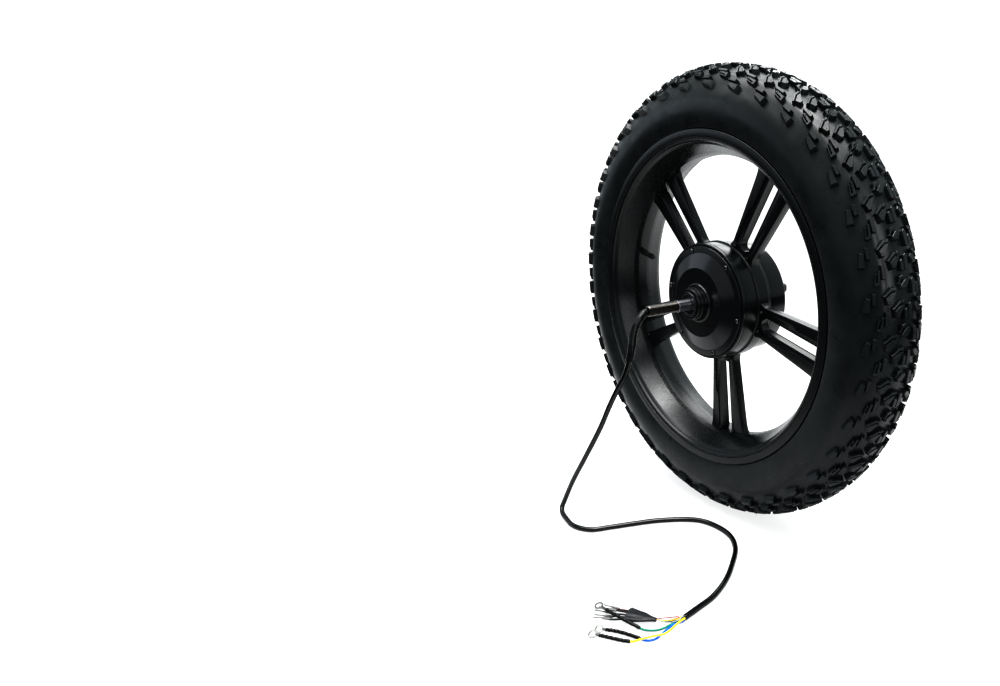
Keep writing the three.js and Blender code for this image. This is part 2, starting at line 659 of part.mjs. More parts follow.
// [tip x, tip y, root offset across the boot, sideways bow of the sleeve]
const HALL_PINS = [
  [101.5, -260.6, -8.6, 0.6],
  [103.4, -266.2, -4.7, -0.5],
  [107.6, -271.4, -0.6, 0.3],
  [112.6, -276.6, 3.4, -0.4],
  [119.6, -281.8, 7.4, 0.5],
];

// A sleeve from the boot's wide end with a flat blade on its tip.
function hallPin([tipX, tipY, offset, bow]) {
  const sleeveZ = -297.7;
  const root = BOOT_END.clone().addScaledVector(bootDir, 0.4).addScaledVector(pinAcross, offset);
  root.z = -297.2;
  const tip = new THREE.Vector3(tipX, tipY, -297.6);
  const middle = root.clone().lerp(tip, 0.55).addScaledVector(pinAcross, bow).setZ(sleeveZ);
  const neck = root.clone().lerp(tip, 0.68).setZ(sleeveZ);
  const path = [root, middle, neck].map((point) => point.toArray());
  const sleeve = solid(bar(path, { radius: 0.85, sides: 5, steps: 2 }));
  return sleeve.add(terminal(neck.clone().lerp(root, 0.1), tip, 1.3));
}
HALL_PINS.forEach((row, i) => piece(loom, `hall_pin_${i + 1}`, hallPin(row), FINISH.pin));

export default assembly;
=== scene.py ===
# Hub motor wheel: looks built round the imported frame. Sizes in the tables are
# millimetres, turned into metres when a mesh is made.
import math
import random

import bmesh
import bpy
import numpy as np
from mathutils import Matrix, Vector


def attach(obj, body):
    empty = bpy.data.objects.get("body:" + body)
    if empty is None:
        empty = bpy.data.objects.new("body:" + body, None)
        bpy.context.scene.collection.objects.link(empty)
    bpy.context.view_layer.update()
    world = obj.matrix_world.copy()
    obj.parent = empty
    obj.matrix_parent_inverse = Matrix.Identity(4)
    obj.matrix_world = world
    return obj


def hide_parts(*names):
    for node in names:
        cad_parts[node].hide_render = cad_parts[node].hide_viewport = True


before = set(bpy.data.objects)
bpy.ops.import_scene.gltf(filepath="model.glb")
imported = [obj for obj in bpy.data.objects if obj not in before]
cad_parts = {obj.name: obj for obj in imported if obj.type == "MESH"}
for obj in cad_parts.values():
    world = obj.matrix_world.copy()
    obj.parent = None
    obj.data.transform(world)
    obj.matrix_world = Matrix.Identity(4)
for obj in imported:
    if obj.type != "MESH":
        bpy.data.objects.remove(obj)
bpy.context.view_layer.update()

MM = 0.001
PI = math.pi
RNG = random.Random(11)
WHEEL, AXLE = "wheel", "axle_assembly"

# =====================================================================
# mesh helpers
# =====================================================================


def signed_volume(v, f):
    total = 0.0
    for face in f:
        a = v[face[0]]
        for i in range(1, len(face) - 1):
            b, c = v[face[i]], v[face[i + 1]]
            total += (
                a[0] * (b[1] * c[2] - b[2] * c[1])
                - a[1] * (b[0] * c[2] - b[2] * c[0])
                + a[2] * (b[0] * c[1] - b[1] * c[0])
            )
    return total


def outward(v, f):
    return f if signed_volume(v, f) > 0 else [list(reversed(q)) for q in f]


def to_mesh(v, f, sharp=32, scale=MM):
    me = bpy.data.meshes.new("m")
    me.from_pydata([(x * scale, y * scale, z * scale) for x, y, z in v], [], f)
    me.update()
    smooth(me, sharp)
    return me


def smooth(me, sharp=32):
    me.polygons.foreach_set("use_smooth", [True] * len(me.polygons))
    me.set_sharp_from_angle(angle=math.radians(sharp))
    me.update()


def merge(parts):
    v, f = [], []
    for pv, pf in parts:
        n = len(v)
        v.extend(pv)
        f.extend([[i + n for i in q] for q in pf])
    return v, f


def place(name, me, mat, body, nodes=()):
    o = bpy.data.objects.new(name, me)
    bpy.context.scene.collection.objects.link(o)
    me.name = name
    if mat is not None:
        me.materials.clear()
        me.materials.append(mat)
    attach(o, body)
    if nodes:
        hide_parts(*nodes)
    return o


def rounded(points, default=0.5, seg=3, loop=True):
    """Rounds the corners of an outline of (a, b) or (a, b, radius) points."""
    n = len(points)
    out = []
    for i, p in enumerate(points):
        r = p[2] if len(p) > 2 else default
        if (not loop and i in (0, n - 1)) or r <= 0:
            out.append((p[0], p[1]))
            continue
        a, b, c = Vector(points[i - 1][:2]), Vector(p[:2]), Vector(points[(i + 1) % n][:2])
        u, w = a - b, c - b
        if u.length < 1e-6 or w.length < 1e-6:
            out.append((p[0], p[1]))
            continue
        cosang = max(-1, min(1, u.normalized().dot(w.normalized())))
        half = math.acos(cosang) / 2
        if half > 1.54:
            out.append((p[0], p[1]))
            continue
        d = min(r / max(math.tan(half), 0.15), 0.45 * u.length, 0.45 * w.length)
        s, e = b + u.normalized() * d, b + w.normalized() * d
        for k in range(seg + 1):
            t = k / seg
            q = s * (1 - t) ** 2 + b * 2 * t * (1 - t) + e * t * t
            out.append((q.x, q.y))
    return out


def curve_through(points, per=6, loop=False):
    """Centripetal curve through points of any dimension."""
    P = [np.array(p, float) for p in points]
    n = len(P)
    out = []
    rng = range(n if loop else n - 1)
    for i in rng:
        p1, p2 = P[i], P[(i + 1) % n]
        p0 = P[i - 1] if (loop or i > 0) else 2 * p1 - p2
        p3 = P[(i + 2) % n] if (loop or i + 2 < n) else 2 * p2 - p1
        t0 = 0.0
        t1 = t0 + max(np.linalg.norm(p1 - p0), 1e-9) ** 0.5
        t2 = t1 + max(np.linalg.norm(p2 - p1), 1e-9) ** 0.5
        t3 = t2 + max(np.linalg.norm(p3 - p2), 1e-9) ** 0.5
        for k in range(per):
            t = t1 + (t2 - t1) * k / per
            a1 = (t1 - t) / (t1 - t0) * p0 + (t - t0) / (t1 - t0) * p1
            a2 = (t2 - t) / (t2 - t1) * p1 + (t - t1) / (t2 - t1) * p2
            a3 = (t3 - t) / (t3 - t2) * p2 + (t - t2) / (t3 - t2) * p3
            b1 = (t2 - t) / (t2 - t0) * a1 + (t - t0) / (t2 - t0) * a2
            b2 = (t3 - t) / (t3 - t1) * a2 + (t - t1) / (t3 - t1) * a3
            out.append((t2 - t) / (t2 - t1) * b1 + (t - t1) / (t2 - t1) * b2)
    if not loop:
        out.append(P[-1])
    return out


def lathe(points, n=192):
    """A closed turned body about Y from a closed outline of (r, y)."""
    m = len(points)
    v, f, index = [], [], {}
    for j in range(n):
        a = 2 * PI * j / n
        c, s = math.cos(a), math.sin(a)
        for i, (r, y) in enumerate(points):
            if r < 1e-6:
                if ("axis", i) not in index:
                    index[("axis", i)] = len(v)
                    v.append((0.0, y, 0.0))
                index[(j, i)] = index[("axis", i)]
            else:
                index[(j, i)] = len(v)
                v.append((r * c, y, r * s))
    for j in range(n):
        k = (j + 1) % n
        for i in range(m):
            h = (i + 1) % m
            q = []
            for x in (index[(j, i)], index[(j, h)], index[(k, h)], index[(k, i)]):
                if x not in q:
                    q.append(x)
            if len(q) > 2:
                f.append(q)
    return v, outward(v, f)


def mapped(vf, matrix):
    v, f = vf
    w = [tuple(matrix @ Vector(p)) for p in v]
    return w, (f if matrix.determinant() > 0 else [list(reversed(q)) for q in f])


def basis(x, y, z, origin=(0, 0, 0)):
    m = Matrix((x, y, z)).transposed().to_4x4()
    m.translation = Vector(origin)
    return m


def radial(deg):
    a = math.radians(deg)
    return Vector((math.cos(a), 0, math.sin(a)))


def tangent(deg):
    a = math.radians(deg)
    return Vector((-math.sin(a), 0, math.cos(a)))


def tube(path, radius, sides=12, up=(0, 0, 1), cap=True, squash=None):
    """A round bar along a dense path. radius is a number or f(k, t, ring angle)."""
    P = [Vector(p) for p in path]
    n = len(P)
    v, f = [], []
    t0 = (P[1] - P[0]).normalized()
    side = t0.cross(Vector(up))
    if side.length < 1e-4:
        side = t0.cross(Vector((1, 0, 0)))
    side.normalize()
    for k in range(n):
        t = (P[min(k + 1, n - 1)] - P[max(k - 1, 0)]).normalized()
        side = (side - t * side.dot(t)).normalized()
        nrm = side.cross(t)
        for j in range(sides):
            a = 2 * PI * j / sides
            r = radius(k / (n - 1), a) if callable(radius) else radius
            p = P[k] + side * (r * math.cos(a)) + nrm * (r * math.sin(a))
            v.append(tuple(p))
    for k in range(n - 1):
        for j in range(sides):
            h = (j + 1) % sides
            f.append([k * sides + j, k * sides + h, (k + 1) * sides + h, (k + 1) * sides + j])
    if cap:
        f.append([j for j in range(sides)][::-1])
        f.append([(n - 1) * sides + j for j in range(sides)])
    return v, outward(v, f)


def hollow_tube(path, r_out, r_in, sides=16):
    P = list(path)
    vo, fo = tube(P, r_out, sides, cap=False)
    vi, fi = tube(P, r_in, sides, cap=False)
    n = len(vo)
    v = vo + vi
    f = [q for q in fo] + [[i + n for i in reversed(q)] for q in fi]
    last = len(P) - 1
    for j in range(sides):
        h = (j + 1) % sides
        f.append([j, j + n, h + n, h])
        a, b = last * sides + j, last * sides + h
        f.append([a, b, b + n, a + n])
    bm = bmesh.new()
    vs = [bm.verts.new(p) for p in v]
    for q in f:
        bm.faces.new([vs[i] for i in q])
    bmesh.ops.recalc_face_normals(bm, faces=bm.faces)
    bm.verts.index_update()
    v2 = [tuple(x.co) for x in bm.verts]
    f2 = [[x.index for x in q.verts] for q in bm.faces]
    bm.free()
    return v2, outward(v2, f2)


def area2(p):
    return sum(p[i - 1][0] * p[i][1] - p[i][0] * p[i - 1][1] for i in range(len(p)))


def offset(poly, d):
    """Moves each edge of a closed outline out by d (in for d < 0)."""
    s = 1 if area2(poly) > 0 else -1
    n = len(poly)
    out = []
    for i in range(n):
        a, b, c = Vector(poly[i - 1]), Vector(poly[i]), Vector(poly[(i + 1) % n])
        n1 = Vector(((b - a).y, -(b - a).x)).normalized() * s
        n2 = Vector(((c - b).y, -(c - b).x)).normalized() * s
        m = n1 + n2
        k = max(m.dot(n1), 0.35)
        out.append(tuple(b + m * (d / k)))
    return out


def extrude(outlines, y0, y1, bevel=0.8, seg=3):
    """A flat plate with rounded edges. outlines: outer, then holes, in (a, b); it lies in a, b and runs from y0 to y1 in c."""
    cu = bpy.data.curves.new("tmp", "CURVE")
    cu.dimensions = "2D"
    cu.fill_mode = "BOTH"
    for pts in outlines:
        sp = cu.splines.new("POLY")
        sp.points.add(len(pts) - 1)
        for q, p in zip(sp.points, pts):
            q.co = (p[0], p[1], 0, 1)
        sp.use_cyclic_u = True
    cu.extrude = (y1 - y0) / 2 - bevel
    cu.bevel_depth = bevel
    cu.bevel_resolution = seg
    cu.offset = -bevel
    o = bpy.data.objects.new("tmp", cu)
    bpy.context.scene.collection.objects.link(o)
    dg = bpy.context.evaluated_depsgraph_get()
    me = bpy.data.meshes.new_from_object(o.evaluated_get(dg))
    bpy.data.objects.remove(o)
    bm = bmesh.new()
    bm.from_mesh(me)
    bmesh.ops.remove_doubles(bm, verts=bm.verts, dist=1e-3)
    bmesh.ops.recalc_face_normals(bm, faces=bm.faces)
    bm.verts.index_update()
    v = [(x.co.x, x.co.y, x.co.z + (y0 + y1) / 2) for x in bm.verts]
    f = [[x.index for x in q.verts] for q in bm.faces]
    bm.free()
    bpy.data.meshes.remove(me)
    return v, outward(v, f)


def boolean(base, others, op):
    """base and others are (verts, faces) in mm; one closed mesh comes back as (verts, faces)."""
    def temp(vf):
        me = bpy.data.meshes.new("tmp")
        me.from_pydata([tuple(p) for p in vf[0]], [], vf[1])
        o = bpy.data.objects.new("tmp", me)
        bpy.context.scene.collection.objects.link(o)
        return o

    a = temp(base)
    made = [a]
    for vf in others:
        b = temp(vf)
        made.append(b)
        m = a.modifiers.new("b", "BOOLEAN")
        m.operation = op
        m.object = b
        m.solver = "MANIFOLD"
    dg = bpy.context.evaluated_depsgraph_get()
    me = bpy.data.meshes.new_from_object(a.evaluated_get(dg))
    v = [tuple(x.co) for x in me.vertices]
    f = [list(p.vertices) for p in me.polygons]
    for o in made:
        bpy.data.objects.remove(o)
    bpy.data.meshes.remove(me)
    return v, f


# =====================================================================
# materials
# =====================================================================


def material(name, color, rough, metal=0.0, spec=0.5, coat=0.0, coat_rough=0.15,
             mottle=0.15, mottle_scale=60.0, rough_var=0.07, rough_scale=220.0,
             grain=1400.0, bump=0.06, bump_mm=0.12, waves=None, sheen=0.0, edge=None):
    """Procedural surface: two noises vary colour and roughness, a third and an optional wave bend the normal; an
    optional edge colour is painted onto convex edges as a painted highlight.
    """
    mat = bpy.data.materials.new(name)
    mat.use_nodes = True
    nt = mat.node_tree
    nt.nodes.clear()
    out = nt.nodes.new("ShaderNodeOutputMaterial")
    b = nt.nodes.new("ShaderNodeBsdfPrincipled")
    nt.links.new(b.outputs[0], out.inputs[0])
    tc = nt.nodes.new("ShaderNodeTexCoord")

    def noise(scale, detail=3.0, roughness=0.55):
        n = nt.nodes.new("ShaderNodeTexNoise")
        n.inputs["Scale"].default_value = scale
        n.inputs["Detail"].default_value = detail
        n.inputs["Roughness"].default_value = roughness
        nt.links.new(tc.outputs["Object"], n.inputs["Vector"])
        return n.outputs["Fac"]

    def span(value, lo, hi, a=0.3, z=0.7):
        r = nt.nodes.new("ShaderNodeMapRange")
        r.inputs["From Min"].default_value = a
        r.inputs["From Max"].default_value = z
        r.inputs["To Min"].default_value = lo
        r.inputs["To Max"].default_value = hi
        nt.links.new(value, r.inputs["Value"])
        return r.outputs["Result"]

    big = noise(mottle_scale, 4.0)
    mix = nt.nodes.new("ShaderNodeMix")
    mix.data_type = "RGBA"
    dark = [max(0.0, c * (1 - mottle)) for c in color[:3]]
    light = [min(1.0, c * (1 + mottle)) for c in color[:3]]
    mix.inputs["A"].default_value = (*dark, 1)
    mix.inputs["B"].default_value = (*light, 1)
    nt.links.new(span(big, 0.0, 1.0), mix.inputs["Factor"])
    colour = mix.outputs["Result"]
    # edge paints its colour onto convex edges found by pointiness: a painted highlight on ridges and crests
    if edge is not None:
        geo = nt.nodes.new("ShaderNodeNewGeometry")
        m2 = nt.nodes.new("ShaderNodeMix")
        m2.data_type = "RGBA"
        nt.links.new(span(geo.outputs["Pointiness"], 0.0, edge[1], 0.52, 0.62), m2.inputs["Factor"])
        nt.links.new(colour, m2.inputs["A"])
        m2.inputs["B"].default_value = (*edge[0], 1)
        colour = m2.outputs["Result"]
    nt.links.new(colour, b.inputs["Base Color"])
    nt.links.new(span(noise(rough_scale), max(0.02, rough - rough_var), min(1, rough + rough_var)), b.inputs["Roughness"])
    b.inputs["Metallic"].default_value = metal
    b.inputs["Specular IOR Level"].default_value = spec
    b.inputs["Coat Weight"].default_value = coat
    b.inputs["Coat Roughness"].default_value = coat_rough
    b.inputs["Sheen Weight"].default_value = sheen
    height = noise(grain, 2.0, 0.6)
    if waves is not None:
        # fine turned or brushed lines: rings about the axle, or bands along one axis
        w = nt.nodes.new("ShaderNodeTexWave")
        kind, scale, amount = waves
        if kind == "rings":
            w.wave_type = "RINGS"
            w.rings_direction = "Y"
        else:
            w.wave_type = "BANDS"
            w.bands_direction = kind
        w.inputs["Scale"].default_value = scale
        w.inputs["Distortion"].default_value = 1.2
        w.inputs["Detail"].default_value = 2.0
        nt.links.new(tc.outputs["Object"], w.inputs["Vector"])
        add = nt.nodes.new("ShaderNodeMath")
        add.operation = "MULTIPLY_ADD"
        nt.links.new(w.outputs["Fac"], add.inputs[0])
        add.inputs[1].default_value = amount
        nt.links.new(height, add.inputs[2])
        height = add.outputs[0]
    bp = nt.nodes.new("ShaderNodeBump")
    bp.inputs["Strength"].default_value = bump
    bp.inputs["Distance"].default_value = bump_mm * MM
    nt.links.new(height, bp.inputs["Height"])
    nt.links.new(bp.outputs["Normal"], b.inputs["Normal"])
    return mat


RUBBER = material("tyre_rubber", (0.0115, 0.0140, 0.0146), 0.33, spec=0.32, mottle=0.3, mottle_scale=22, rough_var=0.08,
                  rough_scale=70, grain=900, bump=0.22, bump_mm=0.25)
CAST = material("black_cast_metal", (0.0058, 0.0074, 0.0078), 0.26, spec=0.36, coat=0.08, coat_rough=0.25, mottle=0.2,
                mottle_scale=35, rough_var=0.02, rough_scale=160, grain=1300, bump=0.035, bump_mm=0.12)
HOUSING = material("black_motor_housing", (0.0066, 0.0070, 0.0082), 0.18, spec=0.5, mottle=0.12,
                   mottle_scale=30, rough_var=0.012, rough_scale=50, grain=700, bump=0.02, bump_mm=0.02)
STEEL = material("axle_steel", (0.42, 0.42, 0.45), 0.285, metal=1.0, mottle=0.15, mottle_scale=140, rough_var=0.03,
                 rough_scale=500, grain=2600, bump=0.02, bump_mm=0.1)
# the thread crests get a lighter edge colour: a painted highlight along the ridges
THREAD = material("thread_steel", (0.15, 0.14, 0.13), 0.3, metal=1.0, mottle=0.25, mottle_scale=200, rough_var=0.05,
                  rough_scale=500, grain=2600, bump=0.02, bump_mm=0.1, edge=((0.34, 0.33, 0.32), 0.8))
DARK_STEEL = material("dark_steel", (0.012, 0.0125, 0.0135), 0.2, metal=0.3, mottle=0.2, mottle_scale=90, grain=2000, bump=0.015)
SCREW = material("screw_steel", (0.16, 0.16, 0.165), 0.3, metal=1.0, mottle=0.15, mottle_scale=300, grain=3000, bump=0.1)
BEARING = material("bearing_steel", (0.6, 0.6, 0.62), 0.2, metal=1.0, mottle=0.08, mottle_scale=200, grain=3000, bump=0.08,
                   waves=("rings", 2000, 0.3))
GEAR = material("gear_steel", (0.42, 0.43, 0.45), 0.33, metal=1.0, mottle=0.12, mottle_scale=200, grain=2400, bump=0.1)
NYLON = material("planet_nylon", (0.72, 0.68, 0.58), 0.45, mottle=0.05, mottle_scale=90, grain=1500, bump=0.08)
LAMINATION = material("lamination_steel", (0.25, 0.26, 0.27), 0.4, metal=0.9, mottle=0.15, mottle_scale=200, grain=2500,
                      bump=0.4, waves=("Y", 1000, 1.2))
COPPER = material("winding_copper", (0.62, 0.24, 0.09), 0.3, metal=0.85, coat=0.4, mottle=0.2, mottle_scale=200, grain=2000,
                  bump=0.5, bump_mm=0.4, waves=("rings", 600, 1.5))
ALUMINIUM = material("stator_aluminium", (0.5, 0.51, 0.52), 0.42, metal=1.0, mottle=0.1, mottle_scale=120, grain=1600, bump=0.2)
BOARD = material("circuit_board", (0.02, 0.16, 0.07), 0.3, coat=0.5, mottle=0.2, mottle_scale=300, grain=900, bump=0.15)
SEAL = material("seal_rubber", (0.011, 0.011, 0.012), 0.36, mottle=0.15, mottle_scale=120, grain=2000, bump=0.02)
TUBE_RUBBER = material("tube_rubber", (0.014, 0.014, 0.014), 0.6, mottle=0.25, mottle_scale=40, grain=1200, bump=0.2)
VALVE = material("valve_rubber", (0.012, 0.012, 0.0125), 0.5, mottle=0.2, mottle_scale=150, grain=2200, bump=0.2)
CAP = material("valve_cap_plastic", (0.01, 0.01, 0.01), 0.35, mottle=0.15, mottle_scale=150, grain=2500, bump=0.12)
CABLE = material("cable_black", (0.0020, 0.0021, 0.0024), 0.11, spec=0.42, coat=0.12, coat_rough=0.08, mottle=0.2,
                 mottle_scale=60, rough_var=0.03, rough_scale=90, grain=420, bump=0.1, bump_mm=0.2)
SLEEVE = material("sleeve_black", (0.0025, 0.0025, 0.0028), 0.30, spec=0.26, mottle=0.25, mottle_scale=150, rough_var=0.1, grain=700,
                  bump=0.5, bump_mm=0.4)
BOOT = material("boot_grey", (0.0105, 0.0118, 0.0135), 0.40, spec=0.3, mottle=0.25, mottle_scale=110, rough_var=0.1, grain=500,
                bump=0.5, bump_mm=0.5)
TIN = material("terminal_tin", (0.19, 0.192, 0.183), 0.36, metal=1.0, mottle=0.1, mottle_scale=400, rough_var=0.06, grain=3000,
               bump=0.04)


def wire_paint(name, color):
    return material(name, color, 0.34, spec=0.35, mottle=0.1, mottle_scale=200, rough_var=0.05, grain=1500, bump=0.1)


WIRE = {
    "green": wire_paint("wire_green", (0.0, 0.21, 0.13)),
    "blue": wire_paint("wire_blue", (0.006, 0.15, 0.80)),
    "yellow": wire_paint("wire_yellow", (0.80, 0.70, 0.04)),
}
HALL = [
    ("hall_red", wire_paint("hall_red", (0.22, 0.045, 0.05))),
    ("hall_orange", wire_paint("hall_orange", (0.62, 0.12, 0.03))),
    ("hall_yellow", wire_paint("hall_yellow", (0.66, 0.52, 0.05))),
    ("hall_white", wire_paint("hall_white", (0.30, 0.36, 0.40))),
    ("hall_black", wire_paint("hall_black", (0.02, 0.02, 0.022))),
]

# =====================================================================
# tyre: a carcass turned from one outline, with moulded tread blocks on it
# =====================================================================
PITCHES = 37
PITCH = 2 * PI * 300 / PITCHES  # along the tread, at 300 mm radius


def envelope(y):
    return 300 - 32 * abs(y / 48.75) ** 2.76


YS = np.linspace(-49.6, 49.6, 1985)
RS = np.array([envelope(y) for y in YS])
ARC = np.concatenate([[0], np.cumsum(np.hypot(np.diff(YS), np.diff(RS)))])
ARC -= np.interp(0, YS, ARC)
NY, NR = -np.gradient(RS), np.gradient(YS)  # outward normal of the outline, in (y, r)
LN = np.hypot(NY, NR)
NY, NR = NY / LN, NR / LN


def on_tread(s, depth):
    """(y, r) at arc s across the tread, depth below the tops of the blocks."""
    y, r = float(np.interp(s, ARC, YS)), float(np.interp(s, ARC, RS))
    return y - depth * float(np.interp(s, ARC, NY)), r - depth * float(np.interp(s, ARC, NR))


def block_height(s):
    a = abs(s)
    return float(np.interp(a, [0, 30, 40, 50, 56, 60, 64], [5.4, 5.4, 5.9, 6.6, 7.2, 7.2, 7.0]))


def tread_point(s, v, depth):
    y, r = on_tread(s, depth)
    a = v / 300.0
    return (r * math.cos(a), y, r * math.sin(a))


SHOULDER = [(30.2, 284.9), (33.6, 281.0), (36.6, 276.9), (39.6, 271.8), (42.6, 266.8), (45.2, 262.0), (47.3, 257.0), (48.6, 252.0)]
SIDE = [(49.15, 247.0), (49.2, 242.5), (48.8, 238), (48.15, 233.5), (47.4, 229.5), (46.7, 226.2), (46.05, 223.6), (45.4, 222.0), (44.5, 221.3), (43.0, 220.95),
        (41.0, 220.85), (39.6, 220.7), (38.6, 217), (38.0, 212), (37.7, 209.6)]

def carcass_outline():
    right = [on_tread(t, block_height(t)) for t in np.arange(0, 34, 2.4)]
    body = [(y, r) for y, r in right if y < 28.6] + SHOULDER + SIDE
    smooth_pts = curve_through(body, 2)
    half = [(p[1], p[0]) for p in smooth_pts]  # (r, y) for y >= 0
    inner = [(209.4, 30.5), (212, 33), (219, 36.5), (226, 40), (238, 43.6), (250, 44.8), (262, 41.5), (272, 34), (281, 22.5), (286, 12), (287, 0)]
    ring = half + inner
    full = ring + [(r, -y) for r, y in reversed(ring[1:-1])]
    return full


def tread_blocks():
    """Outlines of the block tops on one side of one pitch, as (across, along), with how far the foot spreads."""
    c_bar = [(-38.0, -3.6), (-34.2, -0.8), (-28.7, 4.4), (-25.6, 4.0), (-24.8, 4.9), (-22.2, 4.5), (-22.9, 1.5), (-28.3, 1.0), (-36.0, -5.4)]
    c_body = [(-35.2, -6.2), (-28.3, -0.5), (-23.0, 0.0), (-24.2, -2.6), (-29.8, -12.4), (-33.4, -12.8)]
    c_foot = [(-38.6, -7.0), (-28.2, 0.1), (-22.2, 0.6), (-23.2, -3.0), (-28.9, -13.6), (-37.4, -14.6)]

    def shifted(poly):
        return [(-28.7 + (s + 38.0) * 1.06, v - 14.4) for s, v in poly]

    blocks = [
        ([(-59.4, 30.8), (-51.8, 29.8), (-50.8, 45.0), (-55.4, 47.4)], [(-62.2, 28.6), (-51.3, 28.0), (-50.2, 46.0), (-57.6, 48.8)]),
        ([(-49.4, 38.2), (-45.2, 37.8), (-44.5, 50.4), (-48.9, 51.6)], None),
        ([(-45.6, 8.2), (-38.8, 8.8), (-37.3, 24.0), (-40.1, 24.5), (-42.2, 11.4), (-43.4, 11.4), (-41.5, 21.4), (-43.2, 22.2)], None),
        ([(-36.8, 14.6), (-33.2, 14.2), (-32.3, 28.8), (-36.2, 29.4)], None),
        (c_bar, None),
        (c_body, c_foot),
        (shifted(c_bar), None),
        (shifted(c_body), shifted(c_foot)),
        ([(-20.3, 7.2), (-18.4, 9.6), (-17.6, 14.6), (-12.8, 16.4), (-10.6, 15.0), (-11.4, 12.8), (-15.4, 11.4), (-17.8, 6.8)], None),
        ([(-16.6, 5.6), (-10.4, 11.2), (-6.2, 12.0), (-3.8, 8.8), (-8.6, 2.6), (-14.2, 2.2)], [(-18.2, 4.6), (-10.6, 12.2), (-5.6, 12.8), (-2.8, 8.8), (-7.8, 0.8), (-16.2, 0.4)]),
        ([(-13.6, 21.4), (-8.8, 20.8), (-8.4, 30.0), (-10.6, 32.8), (-13.2, 31.0)], None),
        ([(-7.4, 20.8), (-1.2, 21.6), (-0.9, 35.6), (-3.8, 38.2), (-6.8, 36.0)], None),
    ]
    return blocks


def block_mesh(top, foot, base_v, mirror):
    if foot is None:
        foot = offset(top, 0.75)
    pts = list(zip(top, foot))
    if area2(top) < 0:
        pts.reverse()
    top = [p[0] for p in pts]
    foot = [p[1] for p in pts]
    edge = offset(top, -0.5)
    n = len(top)
    rings = []
    for poly, kind in ((foot, "foot"), (top, "shoulder"), (edge, "top")):
        ring = []
        for s, v in poly:
            h = block_height(s)
            depth = {"foot": h + 0.8, "shoulder": 0.65, "top": 0.0}[kind]
            if mirror:
                ring.append(tread_point(-s, v + PITCH / 2 + base_v, depth))
            else:
                ring.append(tread_point(s, v + base_v, depth))
        rings.append(ring)
    v = rings[0] + rings[1] + rings[2]
    f = []
    for k in range(2):
        for i in range(n):
            j = (i + 1) % n
            f.append([k * n + i, k * n + j, (k + 1) * n + j, (k + 1) * n + i])
    f.append([2 * n + i for i in range(n)])
    f.append([i for i in range(n)][::-1])
    if mirror:
        f = [q[::-1] for q in f]
    return v, outward(v, f)


def hair(s, v, depth, length, lean):
    """A short rubber whisker left by a mould vent."""
    y0, r0 = on_tread(s, depth + 0.3)
    y1, r1 = on_tread(s, depth - length)
    a, b = v / 300.0, (v + lean) / 300.0
    p = Vector((r0 * math.cos(a), y0, r0 * math.sin(a)))
    q = Vector((r1 * math.cos(b), y1 + lean * 0.4, r1 * math.sin(b)))
    d = (q - p).normalized()
    u = d.cross(Vector((0, 1, 0.3))).normalized()
    w = d.cross(u)
    vs = []
    for base, rad in ((p, 0.42), (q, 0.16)):
        for k in range(4):
            t = PI / 2 * k
            vs.append(tuple(base + u * (rad * math.cos(t)) + w * (rad * math.sin(t))))
    f = [[k, (k + 1) % 4, 4 + (k + 1) % 4, 4 + k] for k in range(4)] + [[3, 2, 1, 0], [4, 5, 6, 7]]
    return vs, outward(vs, f)


def build_tyre():
    outline = carcass_outline()
    carcass = lathe(outline, PITCHES * 6)
    knobs = []
    for k in range(PITCHES):
        for top, foot in tread_blocks():
            knobs.append(block_mesh(top, foot, k * PITCH, False))
            knobs.append(block_mesh(top, foot, k * PITCH, True))
    hairs = []
    spots = [(-57.0, 33.0, 0.0), (-55.0, 45.0, 0.0), (-47.0, 49.0, 0.0), (-39.0, 21.0, 0.0), (-31.5, -9.5, 0.0), (-26.0, 3.0, 0.0),
             (-21.5, -25.0, 0.0), (-9.0, 5.5, 0.0), (-4.0, 30.0, 0.0), (-15.5, 14.0, 0.0)]
    for k in range(PITCHES):
        for side in (-1, 1):
            for s, v, d in spots:
                if RNG.random() < 0.5:
                    continue
                vv = v + k * PITCH + (PITCH / 2 if side > 0 else 0)
                if abs(math.degrees(vv / 300.0) % 360 - 270) < 13:
                    continue
                hairs.append(hair(s if side < 0 else -s, vv, d, RNG.uniform(1.6, 3.6), RNG.uniform(-1.5, 1.5)))
    return carcass, merge(knobs), merge(hairs)


def sidewall_marks():
    """Fine moulding marks: short vent ticks round the sidewall at two radii in turn, and a small nub at every fourth
    tick.
    """
    parts = []
    ys = lambda r: float(np.interp(r, [229.5, 233.5, 238, 242.5, 247, 252, 257, 262], [47.4, 48.15, 48.8, 49.2, 49.15, 48.6, 47.3, 45.2]))
    for side in (-1, 1):
        for k in range(48):
            a = 360 / 48 * (k + 0.37)
            r0 = 246 if k % 2 else 257
            y = side * (ys(r0) + 0.12)
            d, t = radial(a), tangent(a)
            vs = []
            for rr, tt in ((r0 - 3.2, 0.22), (r0 + 3.2, 0.22)):
                for sgn, dy in ((-1, -0.3), (-1, 0.16), (1, 0.16), (1, -0.3)):
                    p = d * rr + t * (tt * sgn)
                    vs.append((p.x, side * (ys(rr) + dy), p.z))
            f = [[0, 1, 2, 3], [7, 6, 5, 4]] + [[i, 4 + i, 4 + (i + 1) % 4, (i + 1) % 4] for i in range(4)]
            parts.append((vs, outward(vs, f)))
            if k % 4 == 1:
                nub = lathe([(0, 0.9), (0.42, 0.75), (0.5, -0.4), (0, -0.4)], 8)
                yy = ys(240.5)
                m = basis(Vector((1, 0, 0)), Vector((0, side, 0)), Vector((0, 0, 1)), d * 240.5 + Vector((0, side * yy, 0)))
                parts.append(mapped(nub, m))
    return merge(parts)


